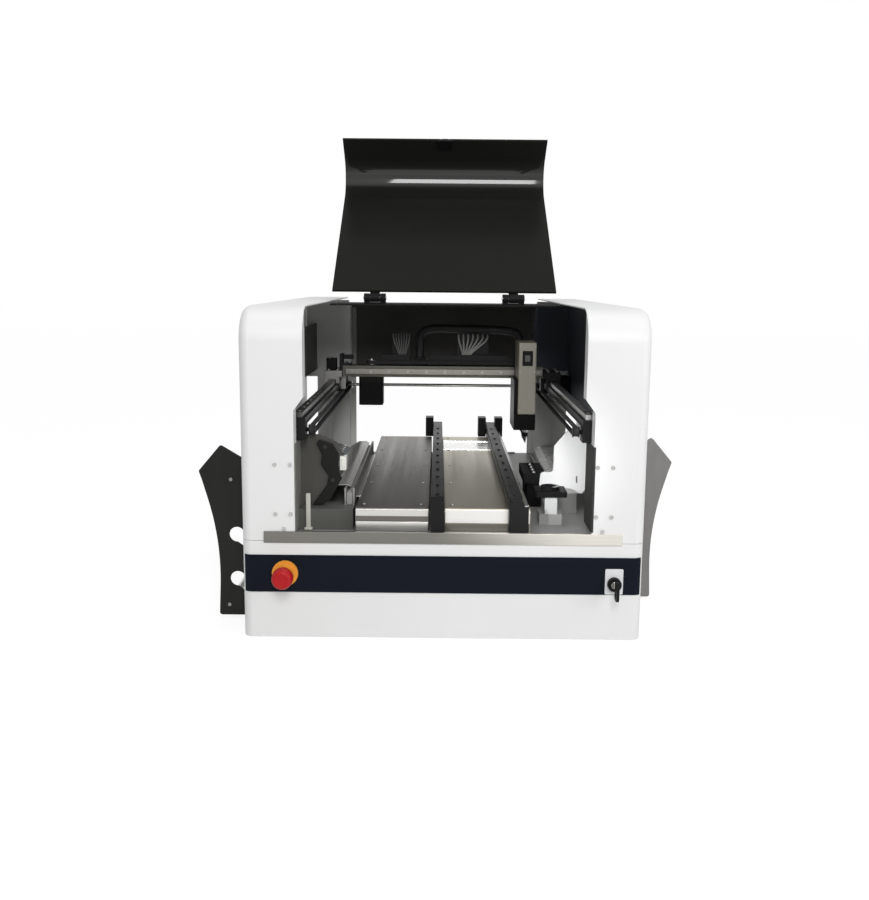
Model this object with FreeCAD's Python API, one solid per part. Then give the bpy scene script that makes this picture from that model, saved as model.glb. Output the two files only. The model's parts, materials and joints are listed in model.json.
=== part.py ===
import FreeCAD, Part
import math
import os

from FreeCAD import Vector

# Driving dimensions, in millimetres.
# X runs to the right, Y to the rear and Z up. The origin is under the middle of the machine.

# Body and covers
BODY_W = 556.0
BODY_D = 700.0
BODY_H = 460.0
SHEET = 2.0
HALF_W = BODY_W / 2
FRONT = -BODY_D / 2
REAR = BODY_D / 2
REACH_Y = 390.0
FOOT_H = 6.0
FLOOR_TOP = FOOT_H + SHEET
COVER_BOTTOM = 1.0
PANEL_TOP = 139.0
PANEL_FOLD = 34.0
BAND_Z = (66.5, 119.5)
BAND_T = 1.5
BAND_FACE = FRONT - BAND_T
SILL_TOP = 153.0
COLUMN_IN_LOW = 204.0
COLUMN_IN_HIGH = 191.0
COLUMN_STEP_Z = (320.0, 338.0)
SHOULDER_R = 48.0
EDGE_R = 14.0
REAR_GATE_HALF = 175.0
INLET_X = -200.0
INLET_Z = 60.0

# Bed, table and board rails
BED_Z = (138.0, 146.0)
TABLE_TOP = 181.0
TABLE_Y = (-326.0, 332.0)
RAIL_TOP = 203.0
RAIL_W = 18.0
RAIL_FIXED_X = -8.0
RAIL_MOVING_X = 100.0
CROSS_GUIDE_H = 3.0

# Feeders and reel racks
WINDOW_Z = (152.0, 316.0)
WINDOW_Y_LEFT = (-278.0, 146.0)
WINDOW_Y_RIGHT = (-174.0, 146.0)
FEEDER_BASE_TOP = 176.0
FEEDER_PITCH = 20.0
PLATE_T = 3.0
LEFT_END_Y = -288.0
RIGHT_END_Y = -190.0
RACK_FRONT_LEFT = -284.0
RACK_FRONT_RIGHT = -180.0
RACK_REAR = 154.0
ROD_NOTCH_X = 297.0
ROD_NOTCH_ZS = (131.0, 65.0)
ROD_NOTCH_R = 11.0

# Y axis
Y_BEAM_X = (192.0, 212.0)
Y_BEAM_Y = (-320.0, 344.0)
Y_BEAM_Z = (275.0, 306.0)
Y_GUIDE_W = 12.0
Y_GUIDE_H = 8.0
Y_PULLEY_R = 5.0
Y_SHAFT_R = 3.0
Y_SHAFT_Y = 308.0
Y_IDLER_Y = -304.0
Y_SHAFT_Z = 288.0
Y_BELT_X = (180.0, 189.0)
BELT_T = 1.5
PULLEY_RIM = 3.0
PULLEY_RIM_T = 0.8

# X axis
X_BEAM_Y = (150.0, 184.0)
X_BEAM_Z = (319.0, 339.0)
X_BEAM_END = 184.0
X_BEAM_MIDDLE_Y = sum(X_BEAM_Y) / 2
X_GUIDE_Y = (X_BEAM_Y[0] - 7.0, X_BEAM_Y[0])
X_GUIDE_Z = (324.0, 334.0)
X_PULLEY_R = 8.0
X_AXLE_R = 2.5
X_MOTOR_X = -132.0
X_IDLER_X = 158.0
X_BELT_Z = (341.5, 348.5)
SLEEVE_R = 7.5
SLEEVE_BEND = 24.0
SLEEVE_FOOT = (-43.0, 191.0, 346.0)
SLEEVE_TOP_Z = 405.0

# Placement head
HEAD_X = 146.0
HEAD_HALF = 15.5
HEAD_Y = (44.0, 136.0)
HEAD_BACK_T = 6.0
HEAD_TOP = 390.0
BLOCK_Z = (238.0, 266.0)
SPINDLE_YS = (60.0, 80.0, 100.0, 120.0)
SPINDLE_R = 5.0
SPINDLE_FOOT = BLOCK_Z[0] - 6.0
SPINDLE_TOP = 300.0
SPINDLE_TRAVEL = 10.0
SHANK_R = 2.5
NOZZLE_TIP_Z = 213.0
SLEEVE_END = (138.0, 144.0, 378.0)

# Lid and hinges
HINGE_Y = -20.0
HINGE_Z = 466.0
HINGE_X = 114.0
HINGE_W = 36.0
HINGE_FOOT = HINGE_Z - 10.0
TOP_FALL = 6.0
KNUCKLE_R = 7.0
KNUCKLE_W = 16.0
PIN_R = 3.0
LID_TOP = HINGE_Z - 7.0
LID_HALF_W = 184.5
LID_T = 4.0
LID_FLAT = 295.0
LID_BEND_R = 41.0
LID_LIP = 49.0
LID_TURN = 108.0
LID_OPEN = 145.0

# Front controls
ESTOP_X = -218.0
ESTOP_Z = 94.0
ESTOP_HOLE_R = 11.0
ESTOP_STEM_R = 7.0
ESTOP_NECK = 14.0
ESTOP_TRAVEL = 5.0
KEY_X = 237.5
KEY_Z = 83.0
KEY_HOLE_R = 9.5
KEY_CORE_R = 5.0

# Fits
RUNNING = 0.05
CLEAR = 0.4


# Shape helpers

PLANES = {
    "xy": lambda a, b, level: Vector(a, b, level),
    "xz": lambda a, b, level: Vector(a, level, b),
    "yz": lambda a, b, level: Vector(level, a, b),
}


def box(x, y, z):
    """Block between a pair of places on each axis."""
    return Part.makeBox(x[1] - x[0], y[1] - y[0], z[1] - z[0], Vector(x[0], y[0], z[0]))


def rod(start, end, radius):
    """Round bar from one point to another."""
    line = Vector(*end) - Vector(*start)
    return Part.makeCylinder(radius, line.Length, Vector(*start), line)


def rounded_corner(before, here, after, radius):
    """Where a corner's arc starts, its middle and where it ends."""
    back = (before - here).normalize()
    ahead = (after - here).normalize()
    half = back.getAngle(ahead) / 2
    run = radius / math.tan(half)
    inward = (back + ahead).normalize()
    middle = here + inward * (radius / math.sin(half) - radius)
    return here + back * run, middle, here + ahead * run


def prism(plane, corners, start, end):
    """Flat outline drawn in a plane and drawn out along its normal. A corner is (a, b) or (a, b, radius)."""
    place = PLANES[plane]
    flat = [Vector(c[0], c[1], 0) for c in corners]
    arcs = []
    for index, corner in enumerate(corners):
        here = flat[index]
        radius = corner[2] if len(corner) > 2 else 0.0
        if radius == 0.0:
            arcs.append((here, None, here))
            continue
        after = flat[(index + 1) % len(flat)]
        arcs.append(rounded_corner(flat[index - 1], here, after, radius))
    edges = []
    for index, (enter, middle, leave) in enumerate(arcs):
        last = arcs[index - 1][2]
        if (enter - last).Length > 1e-6:
            line = Part.LineSegment(place(last.x, last.y, start), place(enter.x, enter.y, start))
            edges.append(line.toShape())
        if middle is not None:
            points = [place(p.x, p.y, start) for p in (enter, middle, leave)]
            edges.append(Part.Arc(*points).toShape())
    return Part.Face(Part.Wire(edges)).extrude(place(0, 0, end - start))


def folded_sheet(plane, path, thickness, bend, start, end):
    """Sheet folded along an open path of points. Its thickness lies to the left of the path."""
    points = [Vector(a, b, 0) for a, b in path]
    ways = [(after - before).normalize() for before, after in zip(points, points[1:])]
    lefts = [Vector(-way.y, way.x, 0) for way in ways]
    near = [(points[0].x, points[0].y)]
    far = [tuple(points[0] + lefts[0] * thickness)[:2]]
    for index in range(1, len(points) - 1):
        before, after = lefts[index - 1], lefts[index]
        shift = (before + after) * (thickness / (1 + before.dot(after)))
        turns_left = ways[index - 1].cross(ways[index]).z > 0
        near_r, far_r = (bend + thickness, bend) if turns_left else (bend, bend + thickness)
        near.append((points[index].x, points[index].y, near_r))
        far.append((points[index].x + shift.x, points[index].y + shift.y, far_r))
    near.append((points[-1].x, points[-1].y))
    far.append(tuple(points[-1] + lefts[-1] * thickness)[:2])
    return prism(plane, near + far[::-1], start, end)


def bent_tube(points, bend, radius):
    """Round tube along straight runs joined by arcs of one radius."""
    places = [Vector(*point) for point in points]
    edges = []
    last = places[0]
    for before, here, after in zip(places, places[1:], places[2:]):
        enter, middle, leave = rounded_corner(before, here, after, bend)
        edges.append(Part.LineSegment(last, enter).toShape())
        edges.append(Part.Arc(enter, middle, leave).toShape())
        last = leave
    edges.append(Part.LineSegment(last, places[-1]).toShape())
    section = Part.Wire(Part.makeCircle(radius, places[0], places[1] - places[0]))
    return Part.Wire(edges).makePipeShell([section], True, False)


def fuse(first, *others):
    return first.multiFuse(list(others)).removeSplitter()


def cut(first, *tools):
    return first.cut(list(tools))


def mirrored(shape):
    """The same piece on the other side of the machine."""
    return shape.mirror(Vector(0, 0, 0), Vector(1, 0, 0))


def both_sides(shape):
    return Part.makeCompound([shape, mirrored(shape)])


def rounded_box(a, b, radius):
    """Corners of a rectangle with one radius all round."""
    return [(a[0], b[0], radius), (a[1], b[0], radius), (a[1], b[1], radius), (a[0], b[1], radius)]


def span(middle, width):
    return (middle - width / 2, middle + width / 2)


# Base and outer covers

def rubber_feet():
    foot_x, foot_y, foot_r = 236.0, 300.0, 16.0
    feet = []
    for x in (-foot_x, foot_x):
        for y in (-foot_y, foot_y):
            feet.append(Part.makeCone(foot_r - 2, foot_r, FOOT_H, Vector(x, y, 0)))
    return Part.makeCompound(feet)


def tray_outline(half, front_y, rear_y, z):
    """Flat plate across the machine, with its front corners rounded to clear the covers."""
    corners = [(-half, front_y, EDGE_R), (half, front_y, EDGE_R), (half, rear_y), (-half, rear_y)]
    return prism("xy", corners, *z)


def base_frame():
    """Floor tray with two welded channels that carry the machine bed."""
    inside = HALF_W - SHEET - 1
    floor = tray_outline(inside, FRONT + 4, REAR - 5, (FOOT_H, FLOOR_TOP))
    channel_web, channel_leg, channel_t = 232.0, 26.0, 3.0
    path = [
        (channel_web - channel_leg, FLOOR_TOP),
        (channel_web, FLOOR_TOP),
        (channel_web, BED_Z[0]),
        (channel_web - channel_leg, BED_Z[0]),
    ]
    channel = folded_sheet("xz", path, channel_t, 2.0, FRONT + 70, REAR - 20)
    return fuse(floor, channel, mirrored(channel))


def control_holes():
    """Round holes in the panel and the band for the emergency stop and the key switch."""
    places = ((ESTOP_X, ESTOP_Z, ESTOP_HOLE_R), (KEY_X, KEY_Z, KEY_HOLE_R))
    return [rod((x, FRONT - 5, z), (x, FRONT + 5, z), radius) for x, z, radius in places]


def front_panel():
    """White panel under the work opening, folded back at both ends."""
    fold_y = FRONT + PANEL_FOLD
    path = [(-HALF_W, fold_y), (-HALF_W, FRONT), (HALF_W, FRONT), (HALF_W, fold_y)]
    sheet = folded_sheet("xy", path, SHEET, EDGE_R - SHEET, COVER_BOTTOM, PANEL_TOP)
    return cut(sheet, *control_holes())


def front_band():
    """Dark strip that runs round the panel's corners and stops just short of its ends."""
    outer, fold_y = HALF_W + BAND_T, FRONT + PANEL_FOLD
    path = [(-outer, fold_y), (-outer, BAND_FACE), (outer, BAND_FACE), (outer, fold_y)]
    strip = folded_sheet("xy", path, BAND_T, EDGE_R, *BAND_Z)
    end_x = HALF_W - 3.5
    strip = strip.common(box((-end_x, end_x), (BAND_FACE, fold_y), BAND_Z))
    return cut(strip, *control_holes())


def front_sill():
    """Brushed angle strip along the foot of the work opening."""
    sill_half, sill_t, ledge = 247.0, 2.5, 4.0
    strip = box((-sill_half, sill_half), (FRONT - sill_t, FRONT), (PANEL_TOP - 2, SILL_TOP))
    inside = COLUMN_IN_LOW - 1
    shelf = box((-inside, inside), (FRONT, FRONT + ledge), (SILL_TOP - sill_t, SILL_TOP))
    return fuse(strip, shelf)


def shoulder_block(inner_x, inset):
    """Solid that a side cover is shelled from, for the right-hand side."""
    past = 1.0 if inset else 0.0
    bottom = COVER_BOTTOM - past
    back = REAR + past
    outer_x = HALF_W - inset
    front_y = FRONT + inset
    top = BODY_H - inset
    corners = [(front_y, bottom), (back, bottom), (back, top), (front_y, top, SHOULDER_R - inset)]
    block = prism("yz", corners, inner_x, outer_x)
    rounded = []
    for edge in block.Edges:
        middle = edge.CenterOfMass
        on_side = abs(middle.x - outer_x) < 0.01
        if on_side and middle.y < back - 1 and middle.z > bottom + 1:
            rounded.append(edge)
    return block.makeFillet(EDGE_R - inset, rounded)


def side_cover(window_y):
    """White cover with its front column and rounded shoulder, made for the right-hand side."""
    outer = shoulder_block(COLUMN_IN_HIGH, 0.0)
    inner = shoulder_block(COLUMN_IN_HIGH - 5, SHEET)
    shell = cut(outer, inner)
    column_edge = [
        (COLUMN_IN_HIGH - 1, COVER_BOTTOM - 1),
        (COLUMN_IN_LOW, COVER_BOTTOM - 1),
        (COLUMN_IN_LOW, COLUMN_STEP_Z[0]),
        (COLUMN_IN_HIGH, COLUMN_STEP_Z[1]),
        (COLUMN_IN_HIGH - 1, COLUMN_STEP_Z[1]),
    ]
    column_cut = prism("xz", column_edge, FRONT - 1, FRONT + 10)
    seam = 0.5
    panel_y = (FRONT - 1, FRONT + PANEL_FOLD + seam)
    panel_room = box((0, HALF_W + 1), panel_y, (COVER_BOTTOM - 1, PANEL_TOP + seam))
    window = prism("yz", rounded_box(window_y, WINDOW_Z, 8.0), HALF_W - 10, HALF_W + 10)
    shell = cut(shell, column_cut, panel_room, window)
    return_depth = 26.0
    return_y = (FRONT + 1, FRONT + return_depth)
    low_x = (COLUMN_IN_LOW, COLUMN_IN_LOW + SHEET)
    high_x = (COLUMN_IN_HIGH, COLUMN_IN_HIGH + SHEET)
    low_return = box(low_x, return_y, (SILL_TOP + 1, COLUMN_STEP_Z[0]))
    high_return = box(high_x, return_y, (COLUMN_STEP_Z[1], BODY_H)).common(outer)
    return fuse(shell, low_return, high_return)


def rear_panel():
    """Grey rear sheet with a gate where boards leave, gaps at its sides, vent slots and the inlet hole."""
    half = HALF_W - SHEET - 0.5
    y = (REAR - 4.0, REAR - 2.0)
    top = BODY_H - 6.0
    cover_edge, under_cover = COLUMN_IN_HIGH - 2.5, HINGE_FOOT - TOP_FALL
    gate_floor, gate_r = BED_Z[0], 6.0
    corners = [
        (-half, FLOOR_TOP), (half, FLOOR_TOP), (half, top, EDGE_R), (cover_edge, top),
        (cover_edge, under_cover), (REAR_GATE_HALF, under_cover),
        (REAR_GATE_HALF, gate_floor, gate_r), (-REAR_GATE_HALF, gate_floor, gate_r),
        (-REAR_GATE_HALF, under_cover), (-cover_edge, under_cover),
        (-cover_edge, top), (-half, top, EDGE_R),
    ]
    sheet = prism("xz", corners, *y)
    inlet_hole = box(span(INLET_X, 27.0), (y[0] - 1, y[1] + 1), span(INLET_Z, 20.0))
    slots = []
    slot_count, slot_pitch, slot_w = 12, 12.0, 5.0
    slot_z = (47.0, 93.0)
    for index in range(slot_count):
        middle = (index - (slot_count - 1) / 2) * slot_pitch
        slots.append(box(span(middle, slot_w), (y[0] - 1, y[1] + 1), slot_z))
    gap_x, gap_z = (254.0, half + 1), (WINDOW_Z[0], 300.0)
    side_gap = box(gap_x, (y[0] - 1, y[1] + 1), gap_z)
    return cut(sheet, inlet_hole, side_gap, mirrored(side_gap), *slots)


def top_cover():
    """Black cover behind the lid, level at the hinges, then falling to the upper rear wall."""
    half, thick = COLUMN_IN_HIGH - 3.0, 3.0
    front_y, level_y, rear_y, wall_foot = HINGE_Y - 4.0, HINGE_Y + 40.0, REAR - 5.0, 300.0
    rear_top = HINGE_FOOT - TOP_FALL
    profile = [
        (front_y, HINGE_FOOT - thick), (level_y, HINGE_FOOT - thick), (rear_y, rear_top - thick),
        (rear_y, rear_top), (level_y, HINGE_FOOT), (front_y, HINGE_FOOT),
    ]
    top_sheet = prism("yz", profile, -half, half)
    wall_half = REAR_GATE_HALF + 8.0
    wall = box((-wall_half, wall_half), (rear_y - thick, rear_y), (wall_foot, rear_top - thick / 2))
    return fuse(top_sheet, wall)


def side_liners():
    """Dark inner walls above the feeders. The right one is deeper and turns along the rear panel."""
    near, far = 254.0, 256.0
    y, top = (FRONT + 30, REAR - 5), BODY_H - 6
    left = box((-far, -near), y, (WINDOW_Z[1], 408.0))
    right = box((near, far), y, (270.0, top))
    leg_z = (WINDOW_Z[1], HINGE_FOOT - TOP_FALL - 4.0)
    rear_leg = box((REAR_GATE_HALF + 9.0, near), (y[1] - SHEET, y[1]), leg_z)
    return Part.makeCompound([left, fuse(right, rear_leg)])


# Bed and table

def bed_plate():
    half = HALF_W - SHEET - 3.0
    return tray_outline(half, FRONT + 4, REAR - 5, BED_Z)


def table_sheet(x):
    """Bright folded table plate on the bed."""
    thick, bend = 3.0, 6.0
    foot = BED_Z[1]
    path = [(TABLE_Y[0], foot), (TABLE_Y[0], TABLE_TOP), (TABLE_Y[1], TABLE_TOP), (TABLE_Y[1], foot)]
    return folded_sheet("yz", path, -thick, bend, *x)


def table_plates():
    left = table_sheet((-123.0, -20.0))
    centre = table_sheet((2.0, 122.0))
    return Part.makeCompound([left, centre])


# Board rails

def board_rail(middle, inner_side, motor_sides, ledge_w):
    """Black rail with a board groove inside, a ledge outside, feet at both ends and motor blocks behind."""
    bar_bottom = TABLE_TOP + 2.0
    rear_end = REACH_Y
    front_end = FRONT + 5.0
    groove_w, groove_z = 3.0, (194.0, 198.0)
    half = RAIL_W / 2
    bar = box(span(middle, RAIL_W), (front_end, rear_end), (bar_bottom, RAIL_TOP))
    face = middle + inner_side * half
    groove_x = sorted((face, face - inner_side * groove_w))
    bar = cut(bar, box(groove_x, (front_end - 1, rear_end + 1), groove_z))
    foot_z = (BED_Z[1] + CROSS_GUIDE_H + CLEAR, bar_bottom)
    outer = middle - inner_side * half
    ledge_end = outer - inner_side * ledge_w
    front_x = (min(middle - half, ledge_end), max(middle + half, ledge_end))
    front_foot = box(front_x, (front_end, TABLE_Y[0] - 3.0), foot_z)
    rear_foot = box(span(middle, RAIL_W), (TABLE_Y[1] + 3.0, REAR - 8.0), foot_z)
    extras = []
    if ledge_w:
        ledge_y, ledge_z = (front_end, rear_end - 50.0), (bar_bottom, bar_bottom + 6.0)
        extras.append(box(sorted((outer, ledge_end)), ledge_y, ledge_z))
    block_w, block_y = 16.0, (rear_end - 34.0, rear_end - 4.0)
    for side in motor_sides:
        near = middle + side * half
        block_x = sorted((near, near + side * block_w))
        extras.append(box(block_x, block_y, (bar_bottom - 6.0, RAIL_TOP + 13.0)))
    return fuse(bar, front_foot, rear_foot, *extras)


def cross_guides():
    """Flat guides on the bed that the movable rail slides along."""
    x = (10.0, 150.0)
    z = (BED_Z[1], BED_Z[1] + CROSS_GUIDE_H)
    front = box(x, (FRONT + 6.0, TABLE_Y[0] - 4.0), z)
    rear = box(x, (TABLE_Y[1] + 4.0, REAR - 9.0), z)
    return Part.makeCompound([front, rear])


# Feeders and reel racks

def feeder_bases():
    foot = BED_Z[1]
    left_x = (-204.0, -127.0)
    y = (-312.0, 146.0)
    left = box(left_x, y, (foot, FEEDER_BASE_TOP))
    lip_w, lip_h, lip_gap = 3.0, 24.0, 9.0
    for edge in (left_x[1] - lip_w, left_x[1] - 2 * lip_w - lip_gap):
        lip = box((edge, edge + lip_w), (y[0] + 30.0, y[1]), (FEEDER_BASE_TOP, FEEDER_BASE_TOP + lip_h))
        left = fuse(left, lip)
    right = box((164.0, 204.0), (RIGHT_END_Y - 6.0, y[1]), (foot, FEEDER_BASE_TOP))
    return Part.makeCompound([left, right])


def feeder_end_plates():
    """End plates of the feeder banks inside the machine: dark on the left, white on the right."""
    foot = FEEDER_BASE_TOP
    left_corners = [
        (-203.0, foot), (-170.0, foot), (-142.0, 226.0), (-141.0, 250.0, 6.0),
        (-152.0, 268.0, 4.0), (-174.0, 279.0, 4.0), (-203.0, 279.0)]
    left = prism("xz", left_corners, *span(LEFT_END_Y, PLATE_T))
    hook = rod((-143.0, LEFT_END_Y - 5, 237.0), (-143.0, LEFT_END_Y + 5, 237.0), 7.0)
    head_way = NOZZLE_TIP_Z - 4.0
    right_corners = [
        (158.0, foot), (213.0, foot), (224.0, 193.0, 5.0), (223.0, 247.0, 8.0),
        (193.0, 279.0, 6.0), (168.0, 249.0, 8.0), (168.0, head_way, 5.0), (149.0, head_way, 5.0),
        (147.0, 188.0, 5.0)]
    right = prism("xz", right_corners, *span(RIGHT_END_Y, PLATE_T))
    slot = box(span(204.0, 2.5), span(RIGHT_END_Y, 2 * PLATE_T), (193.0, 203.0))
    return Part.makeCompound([cut(left, hook), cut(right, slot)])


def tape_feeder(middle_y):
    """One feeder body on the right-hand side, with its nose towards the work space."""
    width = 15.0
    corners = [
        (168.0, FEEDER_BASE_TOP), (288.0, FEEDER_BASE_TOP), (288.0, 188.0, 4.0), (262.0, 198.0, 6.0),
        (184.0, 198.0, 6.0), (168.0, 190.0, 3.0)]
    return prism("xz", corners, *span(middle_y, width))


def tape_feeders():
    left_count, right_count = 20, 15
    last_y = 128.0
    bodies = [mirrored(tape_feeder(last_y - index * FEEDER_PITCH)) for index in range(left_count)]
    bodies += [tape_feeder(last_y - index * FEEDER_PITCH) for index in range(right_count)]
    return Part.makeCompound(bodies)


def reel_plate(y, flange_way):
    """Outer plate for component reels, made for the right-hand side, with a flange on the cover."""
    curve_r = 400.0
    corners = [
        (HALF_W, 10.0), (325.0, 10.0, 4.0), (320.0, 122.0, curve_r), (346.0, 212.0, 6.0),
        (350.0, 224.0, 3.0), (318.0, 262.0, 4.0), (HALF_W, 238.0)]
    plate = prism("xz", corners, *span(y, PLATE_T))
    for z in ROD_NOTCH_ZS:
        hole = rod((ROD_NOTCH_X, y - 5, z), (ROD_NOTCH_X, y + 5, z), ROD_NOTCH_R)
        mouth_corners = [
            (ROD_NOTCH_X + 10.5, z - 3.0), (ROD_NOTCH_X - 11.5, z + 7.0), (ROD_NOTCH_X - 11.5, z - 19.0)]
        mouth = prism("xz", mouth_corners, y - 5, y + 5)
        plate = cut(plate, hole, mouth)
    flange_y = sorted((y, y + flange_way * 20.0))
    flange = box((HALF_W, HALF_W + SHEET), flange_y, (24.0, 226.0))
    return fuse(plate, flange)


def reel_rack(front_y, rear_y):
    """Two reel plates and the tie rods between them."""
    plates = [reel_plate(front_y, -1), reel_plate(rear_y, 1)]
    gap_y = (front_y + PLATE_T / 2, rear_y - PLATE_T / 2)
    rods = [rod((x, gap_y[0], z), (x, gap_y[1], z), 5.0) for x, z in ((304.0, 212.0), (310.0, 26.0))]
    return Part.makeCompound(plates + rods)


# Y axis

def gantry_posts():
    """Front and rear posts that carry the Y beams."""
    z = (BED_Z[1], Y_BEAM_Z[0])
    front = box((207.0, 238.0), (FRONT + 6.0, -296.0), z)
    rear = box((186.0, 222.0), (331.0, REAR - 6.0), z)
    return Part.makeCompound([front, mirrored(front), rear, mirrored(rear)])


def y_beams():
    """Black bars along both sides, deep only at their ends, which stand on the posts and hold the axles."""
    open_y, open_z = (-294.0, 298.0), (Y_BEAM_Z[0] - 1, 296.0)
    beam = cut(box(Y_BEAM_X, Y_BEAM_Y, Y_BEAM_Z), box((Y_BEAM_X[0] - 1, Y_BEAM_X[1] + 1), open_y, open_z))
    for y in (Y_SHAFT_Y, Y_IDLER_Y):
        ends = (Y_BEAM_X[0] - 1, y, Y_SHAFT_Z), (Y_BEAM_X[1] + 1, y, Y_SHAFT_Z)
        beam = cut(beam, rod(*ends, Y_SHAFT_R + RUNNING))
    return both_sides(beam)


def y_guide_rails():
    middle = sum(Y_BEAM_X) / 2
    top = Y_BEAM_Z[1] + Y_GUIDE_H
    rail = box(span(middle, Y_GUIDE_W), (Y_BEAM_Y[0] + 4, Y_BEAM_Y[1] - 4), (Y_BEAM_Z[1], top))
    return both_sides(rail)


def belt_loop(plane, ends, across, radius, start, end):
    """Closed belt round two pulleys of one radius, from one end along a plane's first axis to the other."""
    low, high = ends
    outer_r = radius + BELT_T

    def stadium(r):
        return [(low - r, across - r, r * 0.999), (high + r, across - r, r * 0.999),
                (high + r, across + r, r * 0.999), (low - r, across + r, r * 0.999)]

    return cut(prism(plane, stadium(outer_r), start, end), prism(plane, stadium(radius), start - 1, end + 1))


def y_belts():
    ends = (Y_IDLER_Y, Y_SHAFT_Y)
    belt = belt_loop("yz", ends, Y_SHAFT_Z, Y_PULLEY_R + RUNNING, Y_BELT_X[0] + 1, Y_BELT_X[1] - 1)
    return both_sides(belt)


def y_pulley(y):
    """Flanged belt pulley on the right-hand side."""
    wheel = rod((Y_BELT_X[0], y, Y_SHAFT_Z), (Y_BELT_X[1], y, Y_SHAFT_Z), Y_PULLEY_R)
    rims = []
    for x in (Y_BELT_X[0], Y_BELT_X[1] - PULLEY_RIM_T):
        rims.append(rod((x, y, Y_SHAFT_Z), (x + PULLEY_RIM_T, y, Y_SHAFT_Z), Y_PULLEY_R + PULLEY_RIM))
    return fuse(wheel, *rims)


def y_sync_shaft():
    """Round shaft across the rear that drives both Y belts together."""
    left_end, right_end = -Y_BEAM_X[1] - 4.0, Y_BEAM_X[1] + 12.0
    shaft = rod((left_end, Y_SHAFT_Y, Y_SHAFT_Z), (right_end, Y_SHAFT_Y, Y_SHAFT_Z), Y_SHAFT_R)
    pulley = y_pulley(Y_SHAFT_Y)
    return fuse(shaft, pulley, mirrored(pulley))


def y_idler_pulleys():
    """Front idler pulleys, each on its own stub axle in the beam."""
    stub = rod((Y_BELT_X[1] - 1, Y_IDLER_Y, Y_SHAFT_Z), (Y_BEAM_X[1] + 4, Y_IDLER_Y, Y_SHAFT_Z), Y_SHAFT_R)
    return both_sides(fuse(y_pulley(Y_IDLER_Y), stub))


def y_motor():
    """Stepper motor at the right rear that turns the synchronising shaft."""
    side, length, gap = 42.0, 34.0, 5.0
    x = (Y_BEAM_X[1] + gap, Y_BEAM_X[1] + gap + length)
    body = box(x, span(Y_SHAFT_Y, side), span(Y_SHAFT_Z, side))
    chamfered = [e for e in body.Edges if abs(e.tangentAt(e.FirstParameter).x) > 0.9]
    body = body.makeChamfer(4.0, chamfered)
    bore_depth = 9.0
    mouth, end = (x[0] - 1, Y_SHAFT_Y, Y_SHAFT_Z), (x[0] + bore_depth, Y_SHAFT_Y, Y_SHAFT_Z)
    bore = rod(mouth, end, Y_SHAFT_R + RUNNING)
    bracket = box((Y_BEAM_X[1], x[0]), (Y_SHAFT_Y + 8.0, Y_SHAFT_Y + 20.0), (Y_SHAFT_Z - 4, Y_SHAFT_Z + 16))
    return fuse(cut(body, bore), bracket)


# Gantry

def y_carriages():
    """Blocks that run on the Y guides, with the plates that hold the X beam and clamp the belts."""
    middle = sum(Y_BEAM_X) / 2
    guide_top = Y_BEAM_Z[1] + Y_GUIDE_H
    block_y = (X_BEAM_Y[0] - 16.0, X_BEAM_Y[1] + 16.0)
    block_w = 26.0
    block = box(span(middle, block_w), block_y, (Y_BEAM_Z[1] + 1.5, X_BEAM_Z[0]))
    slot = box(span(middle, Y_GUIDE_W + 2 * CLEAR), (block_y[0] - 1, block_y[1] + 1), (0, guide_top + CLEAR))
    block = cut(block, slot)
    plate = box((X_BEAM_END, middle + block_w / 2), block_y, (X_BEAM_Z[0], X_BEAM_Z[1] - 8.0))
    belt_top = Y_SHAFT_Z + Y_PULLEY_R + RUNNING + BELT_T
    clamp_x = (Y_BELT_X[0] + 1, Y_BELT_X[1] - 0.5)
    clamp = box(clamp_x, span(X_BEAM_MIDDLE_Y, 20.0), (belt_top + CLEAR, X_BEAM_Z[0]))
    return both_sides(fuse(block, plate, clamp))


def x_beam():
    """Grey extrusion across the machine, slotted along its length, with a hole for the motor shaft."""
    beam = box((-X_BEAM_END, X_BEAM_END), X_BEAM_Y, X_BEAM_Z)
    groove_depth, groove_w = 5.0, 6.0
    groove_y = (X_BEAM_Y[1] - groove_depth, X_BEAM_Y[1] + 1)
    groove = box((-X_BEAM_END - 1, X_BEAM_END + 1), groove_y, span(sum(X_BEAM_Z) / 2, groove_w))
    holes = []
    for x in (X_MOTOR_X, X_IDLER_X):
        foot, top = (x, X_BEAM_MIDDLE_Y, X_BEAM_Z[0] - 1), (x, X_BEAM_MIDDLE_Y, X_BEAM_Z[1] + 1)
        holes.append(rod(foot, top, X_AXLE_R + RUNNING))
    return cut(beam, groove, *holes)


def x_guide_rail():
    return box((-X_BEAM_END + 6, X_BEAM_END - 2), X_GUIDE_Y, X_GUIDE_Z)


def x_motor():
    """Stepper motor hanging under the left end of the beam."""
    side, length, bore_depth = 44.0, 52.0, 12.0
    top = X_BEAM_Z[0]
    body = box(span(X_MOTOR_X, side), span(X_BEAM_MIDDLE_Y, side), (top - length, top))
    upright = [e for e in body.Edges if abs(e.tangentAt(e.FirstParameter).z) > 0.9]
    body = body.makeChamfer(4.0, upright)
    bore_foot = (X_MOTOR_X, X_BEAM_MIDDLE_Y, top - bore_depth)
    bore_top = (X_MOTOR_X, X_BEAM_MIDDLE_Y, top + 1)
    return cut(body, rod(bore_foot, bore_top, X_AXLE_R + RUNNING))


def x_belt():
    ends = (X_MOTOR_X, X_IDLER_X)
    z = (X_BELT_Z[0] + 0.5, X_BELT_Z[1] - 0.5)
    return belt_loop("xy", ends, X_BEAM_MIDDLE_Y, X_PULLEY_R + RUNNING, *z)


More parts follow.
